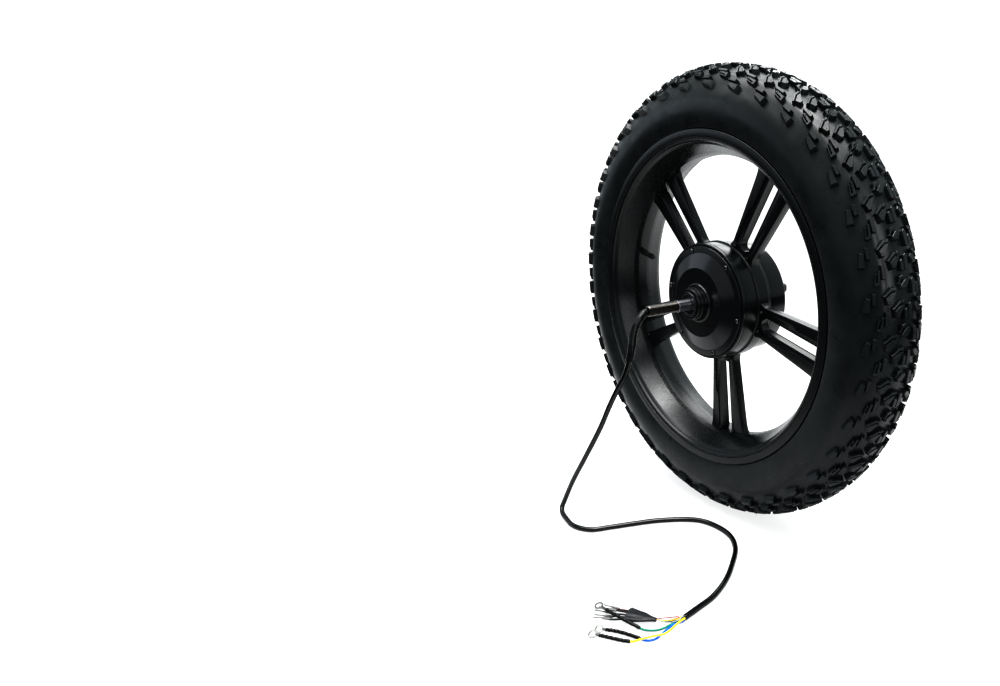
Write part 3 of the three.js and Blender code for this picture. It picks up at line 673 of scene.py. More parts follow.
carcass, knobs, hairs = build_tyre()
place("tyre_carcass", to_mesh(*carcass, sharp=40), RUBBER, WHEEL, ["tyre"])
place("tyre_tread_blocks", to_mesh(*knobs, sharp=25), RUBBER, WHEEL, ["tyre"])
place("tyre_whiskers", to_mesh(*hairs, sharp=60), RUBBER, WHEEL, ["tyre"])
place("tyre_sidewall_ribs", to_mesh(*sidewall_marks(), sharp=30), RUBBER, WHEEL, ["tyre"])

# =====================================================================
# cast wheel
# =====================================================================
SPOKE_PHASE = 57.4


def build_cast():
    rim_pts = [
        (220.6, -46.4, 0.8), (211.4, -46.2, 0.4), (210.9, -45.1, 0.2), (210.2, -45.1, 0.2), (209.8, -46.0, 0.3), (207.0, -44.4, 1.2), (205.4, -41.4, 0.8), (204.6, -40.6, 0.5), (202.4, -37.6, 1.0),
        (199.4, -31.0, 6), (196.0, -23.0, 8), (192.2, -14.4, 8), (190.0, -8, 8), (189.5, 0, 0),
        (190.0, 8, 8), (192.2, 14.4, 8), (196.0, 23.0, 8), (199.4, 31.0, 6), (202.4, 37.6, 1.0), (204.6, 40.6, 0.5), (205.4, 41.4, 0.8),
        (207.0, 44.4, 1.2), (209.8, 46.0, 0.3), (210.2, 45.1, 0.2), (210.9, 45.1, 0.2), (211.4, 46.2, 0.4), (220.6, 46.4, 0.8), (220.5, 40.6, 1.0), (212, 39.4, 1.5), (208.7, 38.2, 1),
        (207.6, 27, 2), (202, 18, 3), (196.9, 11, 3), (196.9, -11, 3), (202, -18, 3), (207.6, -27, 2), (208.7, -38.2, 1), (212, -39.4, 1.5), (220.5, -40.6, 1.0),
    ]
    rim = lathe(rounded(rim_pts, 0.5, 3), 288)
    ring_pts = [
        (71.7, -34.9, 0.2), (76.7, -34.9, 0.7), (77.6, -34.0, 0.3), (77.6, -31.4, 0.2), (76.9, -31.0, 0.1), (76.9, -30.2, 0.1), (77.6, -29.8, 0.2),
        (77.6, -11.6, 0.2), (77.0, -11.1, 0.1), (77.0, -10.4, 0.1), (78.6, -9.6, 0.5), (79.4, -8.4, 0.6), (79.4, 8.4, 0.6), (78.8, 9.6, 0.4),
        (78.2, 13.4, 0.4), (71.7, 13.4, 0.2),
    ]
    hub = lathe(rounded(ring_pts, 0.3, 3), 240)
    arms, cuts, pips = [], [], []
    for k in range(5):
        deg = SPOKE_PHASE + 72 * k
        frame_m = basis(tangent(deg), radial(deg), Vector((0, 1, 0)))
        half = [(24.6, 74.0), (22.4, 79.5), (21.6, 84), (22.2, 92), (26.2, 134), (29.8, 172), (31.2, 181), (33.6, 187.4), (37.4, 192.2)]
        half = [tuple(p) for p in curve_through(half, 3)]
        outer = half + [(-x, y) for x, y in reversed(half)]
        s = 8.9
        slot = [(-s * 0.62, 193.5), (-s * 1.25, 190.5), (-s * 1.04, 187), (-s, 183)]
        slot = [tuple(p) for p in curve_through(slot, 3)]
        bottom = [(s * math.sin(t), 90.5 - s * math.cos(t)) for t in np.linspace(-PI / 2, PI / 2, 13)]
        hole = slot + bottom + [(-x, y) for x, y in reversed(slot)]
        arms.append(mapped(extrude([outer, hole], -5.5, 7.0, 0.9, 2), frame_m))
        for side in (-1, 1):
            # the lowered strip on the slot side: wide from the hub to two thirds, then a hooked step, then narrow to the rim
            strip = [(8.0, 84.5), (17.4, 84.5), (18.3, 110), (18.9, 130.0), (18.4, 133.6), (16.4, 136.6), (14.9, 139.4), (14.9, 146), (15.6, 172), (16.4, 186.0), (8.0, 186.0)]
            strip = rounded([(a, b, 1.2) for a, b in strip], 1.2, 3)
            strip = [(side * a, b) for a, b in strip]
            cuts.append(mapped(extrude([strip], -9.0, -4.1, 0.3, 1), frame_m))
            # a small round pip next to the hook, as cast
            pip = lathe(rounded([(0, -2.0, 0), (1.0, -2.0, 0.8), (1.9, -0.6, 0.5), (1.9, 1.5, 0), (0, 1.5, 0)], 0.4, 3), 20)
            at = tangent(deg) * (side * 13.2) + radial(deg) * 187.6 + Vector((0, -6.0, 0))
            pips.append(mapped(pip, Matrix.Translation(at)))
            root = lathe(rounded([(0, -2.3, 0), (1.5, -2.3, 1.0), (2.7, -0.2, 0.5), (2.7, 2, 0), (0, 2, 0)], 0.4, 3), 20)
            at = tangent(deg) * (side * 13.4) + radial(deg) * 80.2 + Vector((0, -7.4, 0))
            pips.append(mapped(root, Matrix.Translation(at)))
    body = boolean(arms[0], cuts[0:2], "DIFFERENCE")
    bodies = [body] + [boolean(arms[k], cuts[2 * k:2 * k + 2], "DIFFERENCE") for k in range(1, 5)]
    whole = boolean(rim, [hub] + bodies + pips, "UNION")
    v = lathe([(0, 0), (4.9, 0), (4.9, 40), (0, 40)], 24)
    deg = 165.4
    m = basis(tangent(deg), radial(deg), Vector((0, 1, 0)), radial(deg) * 175)
    whole = boolean(whole, [mapped(v, m)], "DIFFERENCE")
    return whole


cast = build_cast()
cast_me = to_mesh(*cast, sharp=26)
place("cast_wheel_body", cast_me, CAST, WHEEL, ["cast_wheel"])

# =====================================================================
# motor housing, cover, screws, seals, collars
# =====================================================================
shell_pts = [
    (66.3, -34.7, 0.2), (71.3, -34.7, 0.2), (71.3, 13.8, 0.1), (75.0, 13.8, 0.4), (75.7, 14.6, 0.3), (75.7, 17.2, 0.3), (75.1, 17.8, 0.2), (75.1, 18.6, 0.2), (75.7, 19.2, 0.3),
    (75.7, 42.6, 0.8), (74.6, 44.6, 0.7), (69.5, 45.0, 0.5), (68.6, 46.2, 0.5), (48.0, 46.2, 1.2), (44.6, 44.8, 1.0), (30.5, 44.8, 1.0), (27.5, 47.2, 0.8), (24.4, 47.4, 0.6),
    (22.6, 49.2, 0.5), (22.2, 54.0, 0.3), (21.0, 54.6, 0.3), (20.8, 59.2, 0.5), (19.8, 60.0, 0.4),
    (17.9, 60.0, 0.2), (17.9, 46.4, 0.1), (12, 46.4, 0.1), (12, 41.2, 0.1), (66.3, 41.2, 0.3),
]
shell = lathe(rounded(shell_pts, 0.4, 3), 240)
cover_pts = [
    (17.9, -60.0, 0.2), (19.7, -60.0, 0.4), (20.6, -59.1, 0.4), (20.7, -54.4, 0.3), (21.4, -53.9, 0.3), (21.4, -48.9, 0.1), (21.8, -47.3, 0.3), (22.6, -47.3, 0.3),
    (23.1, -48.0, 0.3), (24.5, -48.0, 0.9), (25.4, -46.6, 0.5), (26.1, -45.95, 0.6), (46.2, -45.9, 0.7), (65.1, -37.5, 0.5), (73.2, -37.0, 0.4),
    (73.8, -36.4, 0.3), (73.8, -35.2, 0.1), (66.0, -35.2, 0.1), (66.0, -31.8, 0.1), (61, -31.8, 0.1), (45, -41.4, 0.3), (12, -42, 0.1), (12, -46.2, 0.1), (17.9, -46.2, 0.1),
]
cover = lathe(rounded(cover_pts, 0.4, 3), 240)
SCREW_AT = [radial(47.0 + 60 * i) * 69.0 for i in range(6)]
holes = []
for c in SCREW_AT:
    h = lathe([(0, -50), (2.0, -50), (2.0, -24), (0, -24)], 16)
    holes.append(mapped(h, Matrix.Translation(c)))
    # a shallow seat round each screw
    h = lathe([(0, -50), (4.1, -50), (4.1, -36.55), (0, -36.55)], 28)
    holes.append(mapped(h, Matrix.Translation(c)))
cover = boolean(cover, holes, "DIFFERENCE")
place("motor_cover", to_mesh(*cover, sharp=24), HOUSING, WHEEL, ["front_cover"])
place("motor_housing", to_mesh(*shell, sharp=24), HOUSING, WHEEL, ["motor_shell"])

for i, c in enumerate(SCREW_AT):
    head = lathe(rounded([(0, -39.1, 0), (2.2, -39.1, 0.5), (3.05, -38.3, 0.5), (3.1, -36.7, 0.1), (1.6, -36.7, 0.1), (1.6, -25, 0.2), (0, -25, 0)], 0.3, 3), 28)
    hexa = [(1.45 * math.cos(t), 1.45 * math.sin(t)) for t in [PI / 3 * q for q in range(6)]]
    sock = extrude([hexa], -41, -38.0, 0.05, 1)
    sock = ([(a, c2, b) for a, b, c2 in sock[0]], [q[::-1] for q in sock[1]])
    head = boolean(head, [sock], "DIFFERENCE")
    place(f"cover_screw_head_{i + 1}", to_mesh(*mapped(head, Matrix.Translation(c)), sharp=26), SCREW, WHEEL, [f"cover_screw_{i + 1}"])

for side, name in ((-1, "front"), (1, "rear")):
    y = lambda a: side * a
    seal = lathe(rounded([(8.05, y(57.9), 0.2), (17.5, y(57.9), 0.2), (17.5, y(59.7), 0.3), (15.2, y(59.7), 0.3), (14.4, y(59.0), 0.3), (11.2, y(59.0), 0.3), (10.4, y(59.6), 0.3), (8.05, y(59.6), 0.3)], 0.2, 2), 96)
    place(f"{name}_lip_seal", to_mesh(*seal, sharp=30), SEAL, WHEEL, [f"{name}_seal"])
    collar = lathe(rounded([(7.95, y(60.3), 0.1), (16.4, y(60.3), 0.3), (16.4, y(61.8), 0.4), (15.6, y(62.8), 0.4), (13.9, y(62.8), 0.4), (13.2, y(62.2), 0.3), (13.0, y(60.95), 0.3), (7.95, y(60.8), 0.1)], 0.3, 3), 96)
    place(f"{name}_collar", to_mesh(*collar, sharp=26), DARK_STEEL, AXLE, [f"{name}_dust_collar"])

# =====================================================================
# valve
# =====================================================================
VALVE_DEG = 165.4


def along_valve(points, n=32):
    return mapped(lathe(points, n), basis(tangent(VALVE_DEG), radial(VALVE_DEG), Vector((0, 1, 0)), radial(VALVE_DEG) * 198))


stem = along_valve(rounded([(0, -30, 0), (2.6, -30, 0.3), (2.6, -23.2, 0.4), (3.9, -21.4, 0.8), (4.0, -16, 0.3), (4.35, -15.2, 0.3), (4.35, -13.6, 0.3), (4.1, -12.8, 0.3), (4.2, -9, 1), (4.5, -6, 0.6), (4.5, 19, 0.3), (0, 19, 0)], 0.3, 3))
place("valve_stem_rubber", to_mesh(*stem, sharp=30), VALVE, WHEEL, ["valve_stem"])
cap_parts = [along_valve(rounded([(0, -36.4, 0), (2.9, -36.4, 0.7), (3.75, -35.3, 0.4), (3.8, -23.4, 0.3), (2.95, -23.4, 0.1), (2.95, -30.4, 0.2), (0, -30.4, 0)], 0.3, 3))]
m = basis(tangent(VALVE_DEG), radial(VALVE_DEG), Vector((0, 1, 0)), radial(VALVE_DEG) * 198)
for k in range(18):
    t = 2 * PI * k / 18
    rib = tube([(3.78 * math.cos(t), -34.6, 3.78 * math.sin(t)), (3.78 * math.cos(t), -24.4, 3.78 * math.sin(t))], 0.3, 6, up=(1, 0, 0.2))
    cap_parts.append(mapped(rib, m))
place("valve_cap_ribbed", to_mesh(*merge(cap_parts), sharp=30), CAP, WHEEL, ["valve_cap"])

# =====================================================================
# axle: hollow, threaded both ends, two flats
# =====================================================================
THREAD_PITCH = 1.25


def build_axle(sides=96):
    rows = []  # (r, y, kind)

    def row(r, y, kind=""):
        rows.append((r, y, kind))

    def thread(y0, y1, steps=6):
        n = int(round((y1 - y0) / THREAD_PITCH)) * steps
        for i in range(n + 1):
            row(7.0, y0 + (y1 - y0) * i / n, "thread")

    row(0, -33.5)
    row(3.9, -33.5)
    row(4.0, -33.8)
    row(4.0, -126.3)
    row(4.55, -126.95)
    row(4.7, -127.0)
    row(6.0, -127.0, "flat")
    row(6.2, -126.9, "flat")
    row(6.75, -125.9, "flat")
    thread(-125.6, -83.2)
    row(6.35, -82.9, "flat")
    row(6.35, -81.7, "flat")
    row(6.5, -81.5)
    row(7.5, -81.4)
    row(7.9, -81.0)
    row(7.9, -78.9)
    row(7.6, -78.5)
    row(7.5, -78.3)
    row(7.5, -38.2)
    row(7.6, -38.0)
    row(8.8, -37.75)
    row(9.0, -37.5)
    row(9.0, -4.1)
    row(8.8, -3.85)
    row(7.6, -3.65)
    row(7.5, -3.4)
    row(7.5, 78.9)
    row(7.35, 79.1)
    row(6.4, 79.4)
    row(6.35, 79.7, "flat")
    row(6.35, 80.9, "flat")
    thread(81.2, 120.6)
    row(6.75, 120.9, "flat")
    row(6.2, 121.9, "flat")
    row(6.0, 122.0, "flat")
    row(0, 122.0)
    v, f, idx = [], [], {}
    for j in range(sides):
        a = 2 * PI * j / sides
        for i, (r, y, kind) in enumerate(rows):
            if r == 0:
                if ("x", i) not in idx:
                    idx[("x", i)] = len(v)
                    v.append((0, y, 0))
                idx[(j, i)] = idx[("x", i)]
                continue
            rr = r
            if kind == "thread":
                t = (y / THREAD_PITCH - a / (2 * PI)) % 1.0
                rr = 7.0 - 0.62 * min(1.0, max(0.0, abs(2 * t - 1) * 1.3 - 0.12))
            x, z = rr * math.cos(a), rr * math.sin(a)
            if kind in ("thread", "flat"):
                x = max(-5.0, min(5.0, x))
            idx[(j, i)] = len(v)
            v.append((x, y, z))
    n = len(rows)
    for j in range(sides):
        k = (j + 1) % sides
        for i in range(n - 1):
            q = []
            for w in (idx[(j, i)], idx[(j, i + 1)], idx[(k, i + 1)], idx[(k, i)]):
                if w not in q:
                    q.append(w)
            if len(q) > 2:
                f.append(q)
    return v, outward(v, f)


# turned surfaces: the highlight spreads along the shaft
for m_steel in (STEEL,):
    nt_s = m_steel.node_tree
    bs = next(n for n in nt_s.nodes if n.type == "BSDF_PRINCIPLED")
    tg = nt_s.nodes.new("ShaderNodeTangent")
    tg.direction_type = "RADIAL"
    tg.axis = "Y"
    nt_s.links.new(tg.outputs[0], bs.inputs["Tangent"])
    bs.inputs["Anisotropic"].default_value = 0.95
    bs.inputs["Anisotropic Rotation"].default_value = 0.25
axle_me = to_mesh(*build_axle(), sharp=38)
axle_me.materials.append(STEEL)
axle_me.materials.append(THREAD)
axle = place("axle_threaded", axle_me, None, AXLE, ["axle"])
for p in axle_me.polygons:
    y = p.center.y / MM
    r = math.hypot(p.center.x, p.center.z) / MM
    p.material_index = 1 if (y < -81.45 or y > 79.2) else 0

# =====================================================================
# cable and its sleeve
# =====================================================================
CABLE_R = 3.4
FLOOR_Z = -300 + CABLE_R + 0.25
CABLE_PATH = [
    (0, -40, 0), (0, -80, 0), (0, -122, 0), (0.5, -130, -0.6), (2, -140, -7), (3, -148, -16), (5, -153, -26),
    (8, -157, -38), (7.5, -161, -54), (2, -165, -74), (-10, -169, -94), (-25, -172, -118), (-46, -176, -155),
    (-78, -183, -205), (-106, -189, -248), (-123, -193.5, -280), (-126, -197, -291), (-119, -201, FLOOR_Z + 1.1),
    (-96, -205.8, FLOOR_Z), (-81, -207.6, FLOOR_Z), (-67, -205, FLOOR_Z), (-50.7, -195, FLOOR_Z), (-38.7, -172.8, FLOOR_Z),
    (-23.2, -142.1, FLOOR_Z), (-9.6, -117.8, FLOOR_Z), (17, -85.2, FLOOR_Z), (35.2, -73, FLOOR_Z), (63.8, -68.1, FLOOR_Z),
    (91.1, -72, FLOOR_Z), (115.4, -86.4, FLOOR_Z), (136.1, -109.9, FLOOR_Z), (157.4, -140.7, FLOOR_Z),
    (170.8, -172.2, FLOOR_Z), (174.7, -197.7, FLOOR_Z), (177.4, -219.3, FLOOR_Z),
]
cable_path = curve_through(CABLE_PATH, 9)
n_cable = len(cable_path)


def cable_radius(t, a):
    if t > 0.9985:
        return 2.9
    return CABLE_R + 0.035 * math.sin(t * 310) + 0.03 * math.sin(t * 173 + 2 * a)


place("cable_jacket", to_mesh(*tube(cable_path, cable_radius, 24), sharp=50), CABLE, AXLE, ["motor_cable"])
SLEEVE_PATH = [(0, -129.2, -0.2), (0.4, -132, -1.3), (2, -140, -7), (3, -148, -16), (5, -153, -26), (7.6, -156.6, -36), (8.1, -159, -46), (7, -161.4, -56)]
sleeve_path = curve_through(SLEEVE_PATH, 12)


def sleeve_radius(t, a):
    end = min(1.0, min(t, 1 - t) / 0.012)
    return 4.55 + 0.35 * end ** 0.5 + 0.10 * math.sin(t * 46 + 1.3 * math.sin(a)) + 0.07 * math.sin(t * 21 + 3 * a)


place("cable_exit_sleeve", to_mesh(*hollow_tube(sleeve_path, sleeve_radius, 4.1, 40), sharp=40), SLEEVE, AXLE, ["cable_sleeve"])

# =====================================================================
# phase leads: insulated wire, heat-shrink, ring terminal
# =====================================================================
END = (177.4, -219.6, FLOOR_Z)


def lead(start, points):
    return [(END[0] + start[0], END[1] - 0.2, END[2] + start[1]), (END[0] + start[0], END[1] - 3.2, END[2] + start[1])] + points


PHASES = {
    "green": ((-1.5, -1.9),
              [(175.0, -228.6, -297.7), (174.2, -235.4, -298.2), (173.6, -242.6, -298.3), (171.4, -249.5, -298.3), (167.2, -255.4, -298.2), (162.3, -259.6, -298.0), (158.0, -261.8, -297.6)],
              [(157.4, -262.1, -297.2), (146.2, -267.0, -294.6), (133.5, -270.8, -292.7), (120.4, -274.0, -291.9), (111.8, -275.4, -291.9)],
              [(111.3, -275.5, -291.9), (100.6, -277.0, -292.2)]),
    "blue": ((1.25, -2.05),
             [(176.4, -231.2, -298.2), (177.0, -240.2, -298.5), (179.2, -250, -298.5), (180.9, -258.5, -298.5), (178.8, -265.1, -298.5), (174.9, -268.8, -298.4), (171.4, -270.5, -298.1)],
             [(170.8, -270.8, -297.8), (160.5, -274.8, -297.7), (149.3, -279.6, -297.7), (140.1, -284.7, -297.7), (133.5, -289.4, -297.7)],
             [(133.1, -289.7, -297.6), (127.6, -293.5, -297.7)]),
    "yellow": ((2.2, 1.05),
               [(181.4, -232.9, -295.2), (184.6, -243.9, -294.9), (184.4, -252.2, -294.7), (180.6, -259.6, -294.7), (177.6, -266.6, -294.7), (174.2, -273.3, -295.2), (170.4, -277.7, -297.2), (167.4, -280.4, -297.8)],
               [(166.8, -280.9, -297.8), (159.6, -286.2, -297.7), (150.6, -291.3, -297.7), (142.3, -295.7, -297.7), (136.3, -299.0, -297.7)],
               [(135.8, -299.3, -297.7), (130.0, -302.8, -297.7)]),
}


def flat_terminal(a, b, width, thick, ring_r, hole_r, up=(0, 0, 1)):
    """Crimp barrel, tapering tongue and ring, in one body."""
    a, b = Vector(a), Vector(b)
    d = b - a
    length = d.length
    d.normalize()
    nrm = Vector(up)
    nrm = (nrm - d * nrm.dot(d)).normalized()
    side = d.cross(nrm)
    m = Matrix((side, d, nrm)).transposed().to_4x4()
    m.translation = a
    t = thick / 2
    barrel = lathe(rounded([(0, -2.4, 0), (1.15, -2.4, 0.2), (1.3, -1.8, 0.2), (1.32, length * 0.30, 0.5), (0.9, length * 0.45, 0.5), (0.35, length * 0.62, 0.2), (0, length * 0.64, 0)], 0.3, 3), 20)
    for i, p in enumerate(barrel[0]):
        # the barrel is pressed flat towards the ring
        k = min(1.0, max(0.0, p[1] / (length * 0.55)))
        barrel[0][i] = (p[0] * (1 + 0.15 * k), p[1], p[2] * (1 - 0.55 * k))
    tongue = extrude([rounded([(-width * 0.42, length * 0.10), (width * 0.42, length * 0.10), (width * 0.5, length * 0.35), (width * 0.78, length - ring_r * 0.6), (-width * 0.78, length - ring_r * 0.6), (-width * 0.5, length * 0.35)], 0.3, 2)], -t, t, 0.12, 1)
    parts = [tongue]
    if ring_r:
        circle = lambda r, n: [(r * math.cos(2 * PI * k / n), length + r * math.sin(2 * PI * k / n)) for k in range(n)]
        parts.append(extrude([circle(ring_r, 40), circle(hole_r, 32)], -t, t, 0.12, 2))
        tool = extrude([circle(hole_r, 32)], -3 * t, 3 * t, 0.02, 1)
        whole = boolean(boolean(barrel, parts, "UNION"), [tool], "DIFFERENCE")
    else:
        whole = boolean(barrel, parts, "UNION")
    return mapped(whole, m)


def crinkle(seed, base, depth):
    r = random.Random(seed)
    k1, k2, k3, p1, p2 = r.uniform(34, 44), r.uniform(58, 74), r.randint(2, 3), r.uniform(0, 6), r.uniform(0, 6)

    def radius(t, a):
        end = min(1.0, min(t, 1 - t) / 0.03) ** 0.5
        return (base - 0.35) + 0.35 * end + depth * (0.35 + 1.1 * t) * (0.6 * math.sin(k1 * t + p1 + 1.2 * math.sin(a + p2)) + 0.4 * math.sin(k2 * t + k3 * a))

    return radius


for i, (colour, (start, wire, shrink, ring)) in enumerate(PHASES.items()):
    path = curve_through(lead(start, wire) + [shrink[0], shrink[1]], 8)
    place(f"lead_{colour}", to_mesh(*tube(path, 1.12, 16), sharp=50), WIRE[colour], AXLE, [f"phase_wire_{colour}"])
    sp = curve_through(shrink, 14)
    place(f"lead_shrink_{colour}", to_mesh(*tube(sp, crinkle(3 + i, 1.85, 0.24), 24), sharp=50), SLEEVE, AXLE, [f"phase_sleeve_{colour}"])
    term = flat_terminal(ring[0], ring[1], 3.2, 0.75, 5.0, 2.9, (0.25, -0.15, 0.956))
    place(f"ring_terminal_{colour}", to_mesh(*term, sharp=30), TIN, AXLE, [f"phase_terminal_{colour}"])

# =====================================================================
# hall leads, boot, tails and pins
# =====================================================================
HALL_POINTS = [
    ((-2.9, 0.3), [(173.5, -223.3, -295.0), (169.2, -227.4, -295.4), (165.3, -232.3, -295.8), (161.1, -237.5, -296.0)]),
    ((-2.4, 1.6), [(174.6, -224.7, -295.0), (171.9, -229.4, -295.4), (169.4, -234.2, -295.8), (164.2, -238.7, -296.0)]),
    ((-1.1, 2.7), [(176.4, -225.0, -294.9), (173.6, -229.6, -295.3), (170.3, -233.8, -295.7), (165.2, -238.8, -296.0)]),
    ((0.3, 2.9), [(177.2, -226.2, -295.4), (174.7, -231.6, -296.2), (170.6, -236.3, -296.6), (165.5, -239.7, -296.2)]),
    ((-1.1, 0.8), [(176.0, -224.8, -296.4), (173.2, -229.3, -297.0), (169.5, -234.4, -297.2), (164.1, -239.2, -296.6)]),
]
BOOT_A, BOOT_B = Vector((160.2, -242.6, -296.0)), Vector((130.4, -259.8, -296.0))
BOOT_DIR = (BOOT_B - BOOT_A).normalized()
BOOT_LEN = (BOOT_B - BOOT_A).length
BOOT_SIDE = BOOT_DIR.cross(Vector((0, 0, 1)))
for i, (start, pts) in enumerate(HALL_POINTS):
    slot_name, mat = HALL[i]
    inside = BOOT_A + BOOT_DIR * 3.0 + BOOT_SIDE * (0.35 * (i - 2))
    inside.z = -296.0
    path = curve_through(lead(start, pts) + [tuple(inside)], 8)
    place(f"hall_lead_{i + 1}", to_mesh(*tube(path, 0.6, 12), sharp=50), mat, AXLE, [f"hall_wire_{i + 1}"])


def build_boot():
    L = BOOT_LEN
    profile = [(0, 0.4, 0), (2.2, 0.4, 0.3), (2.9, 1.0, 0.4), (3.0, 3.6, 1), (3.6, 5.6, 1.5), (4.6, 8.4, 2), (7.4, 0.45 * L, 4), (10.0, 0.74 * L, 4), (10.9, L - 1.4, 2), (11.0, L - 0.5, 0.4),
               (10.7, L, 0.2), (10.0, L - 0.1, 0.2), (9.6, L - 1.2, 0.5), (9.2, L - 5.0, 1), (0, L - 5.5, 0)]
    v, f = lathe(rounded(profile, 0.5, 4), 64)
    out = []
    for x, y, z in v:
        t = y / L
        a = math.atan2(z, x)
        flat = 0.62 if t < 0.12 else 0.62 + (0.32 - 0.62) * min(1, (t - 0.12) / 0.3)
        w = 0.35 * t * math.sin(3 * a + 5 * t) + 0.22 * t * math.sin(7 * a + 11 * t)
        k = 1 + w * 0.10
        # small folds in the film, along the boot
        out.append((x * k, y, z * flat * k + 0.35 * t * math.sin(0.9 * x + 4 * t) * (1 if z > 0 else 0.2)))
    m = Matrix((BOOT_SIDE, BOOT_DIR, Vector((0, 0, 1)))).transposed().to_4x4()
    m.translation = BOOT_A
    return mapped((out, f), m)


place("hall_shrink_boot", to_mesh(*build_boot(), sharp=50), BOOT, AXLE, ["hall_boot"])
E_SIDE = BOOT_DIR.cross(Vector((0, 0, -1)))
ENDS = [(96.5, -268.6), (95.6, -274.4), (97.1, -281.0), (104.2, -285.4), (106.8, -288.8)]
TAILS = [
    wire_paint("tail_dark_red", (0.055, 0.012, 0.012)),
    wire_paint("tail_black_1", (0.012, 0.012, 0.013)),
    wire_paint("tail_black_2", (0.012, 0.012, 0.013)),
    wire_paint("tail_black_3", (0.012, 0.012, 0.013)),
    wire_paint("tail_dark_green", (0.012, 0.03, 0.018)),
]
for i, (x, y) in enumerate(ENDS):
    s = BOOT_B - BOOT_DIR * 4.2 + E_SIDE * [-7.2, -3.8, -0.4, 3.0, 6.4][i]
    s.z = -296.9
    e = Vector((x, y, -297.6))
    mid = s.lerp(e, 0.5) + E_SIDE * [0.8, -0.5, 0.4, -0.5, 0.8][i]
    mid.z = -298.0
    neck = s.lerp(e, 0.56)
    neck.z = -298.0
    path = curve_through([tuple(s), tuple(mid), tuple(neck)], 14)
    tail = tube(path, crinkle(20 + i, 0.98, 0.05), 14)
    place(f"hall_tail_{i + 1}", to_mesh(*tail, sharp=50), TAILS[i], AXLE, [f"hall_pin_{i + 1}"])
    pin = flat_terminal(tuple(neck.lerp(s, 0.05)), tuple(e), 1.0, 0.62, 0, 0)
    place(f"hall_pin_tip_{i + 1}", to_mesh(*pin, sharp=30), TIN, AXLE, [f"hall_pin_{i + 1}"])

# =====================================================================
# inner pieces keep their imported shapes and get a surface
# =====================================================================
ROTOR_STEEL = material("rotor_steel", (0.32, 0.33, 0.35), 0.36, metal=1.0, mottle=0.15, mottle_scale=120, grain=2000, bump=0.12)
MAGNET = material("magnet_plating", (0.5, 0.5, 0.51), 0.28, metal=1.0, mottle=0.12, mottle_scale=160, grain=2400, bump=0.1)
INNER = {
    "stator_core": LAMINATION, "stator_windings": COPPER, "stator_mount": ALUMINIUM, "hall_sensor_board": BOARD,
    "rotor_bearing": BEARING, "front_bearing_inner": BEARING, "rear_bearing_inner": BEARING, "planet_carrier": ALUMINIUM,
    "one_way_clutch": BEARING, "inner_tube": TUBE_RUBBER, "front_bearing_outer": BEARING, "rear_bearing_outer": BEARING,
    "ring_gear": GEAR, "rotor_can": ROTOR_STEEL, "magnet_ring": MAGNET, "sun_gear": GEAR,
    "planet_gear_1": NYLON, "planet_gear_2": NYLON, "planet_gear_3": NYLON,
}
for name, mat in INNER.items():
    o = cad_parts[name]
    o.data.materials.clear()
    o.data.materials.append(mat)

# =====================================================================
# floor, light, camera
# =====================================================================
floor_me = bpy.data.meshes.new("floor")
floor_me.from_pydata([(-14, -14, -0.3), (14, -14, -0.3), (14, 14, -0.3), (-14, 14, -0.3)], [], [[0, 1, 2, 3]])
floor = bpy.data.objects.new("floor", floor_me)
bpy.context.scene.collection.objects.link(floor)
FLOOR_MAT = material("floor_pale", (0.86, 0.86, 0.86), 0.75, spec=0.15, mottle=0.004, mottle_scale=3, rough_var=0.02, rough_scale=8, grain=60, bump=0.0)
ft = FLOOR_MAT.node_tree
f_out = next(n for n in ft.nodes if n.type == "OUTPUT_MATERIAL")
f_bsdf = next(n for n in ft.nodes if n.type == "BSDF_PRINCIPLED")
f_tc = next(n for n in ft.nodes if n.type == "TEX_COORD")
# away from the wheel the floor runs into the white backdrop, with no horizon line
f_len = ft.nodes.new("ShaderNodeVectorMath")
f_len.operation = "LENGTH"
ft.links.new(f_tc.outputs["Object"], f_len.inputs[0])
f_map = ft.nodes.new("ShaderNodeMapRange")
f_map.interpolation_type = "SMOOTHSTEP"
f_map.inputs["From Min"].default_value = 0.5
f_map.inputs["From Max"].default_value = 1.3
ft.links.new(f_len.outputs["Value"], f_map.inputs["Value"])
f_path = ft.nodes.new("ShaderNodeLightPath")
f_mul = ft.nodes.new("ShaderNodeMath")
f_mul.operation = "MULTIPLY"
f_map.inputs["To Min"].default_value = 0.55
ft.links.new(f_map.outputs["Result"], f_mul.inputs[0])
ft.links.new(f_path.outputs["Is Camera Ray"], f_mul.inputs[1])
f_em = ft.nodes.new("ShaderNodeEmission")
f_em.inputs["Color"].default_value = (1, 1, 1, 1)
f_mix = ft.nodes.new("ShaderNodeMixShader")
ft.links.new(f_mul.outputs[0], f_mix.inputs[0])
ft.links.new(f_bsdf.outputs[0], f_mix.inputs[1])
ft.links.new(f_em.outputs[0], f_mix.inputs[2])
# for all rays but camera rays the floor in front of the wheel and off to its right is painted dark: painted shade that
# the wheel reflects and is lit by, while the camera sees that floor pale
f_sep = ft.nodes.new("ShaderNodeSeparateXYZ")
ft.links.new(f_tc.outputs["Object"], f_sep.inputs[0])
f_front = ft.nodes.new("ShaderNodeMapRange")
f_front.interpolation_type = "SMOOTHSTEP"
f_front.inputs["From Min"].default_value = -0.2
f_front.inputs["From Max"].default_value = -0.6
f_front.inputs["To Min"].default_value = 0.42
ft.links.new(f_sep.outputs["Y"], f_front.inputs["Value"])
f_side = ft.nodes.new("ShaderNodeMapRange")
f_side.interpolation_type = "SMOOTHSTEP"
f_side.inputs["From Min"].default_value = 0.4
f_side.inputs["From Max"].default_value = 1.0
ft.links.new(f_sep.outputs["X"], f_side.inputs["Value"])
f_max = ft.nodes.new("ShaderNodeMath")
f_max.operation = "MAXIMUM"
ft.links.new(f_front.outputs["Result"], f_max.inputs[0])
ft.links.new(f_side.outputs["Result"], f_max.inputs[1])
f_not = ft.nodes.new("ShaderNodeMath")
f_not.operation = "SUBTRACT"
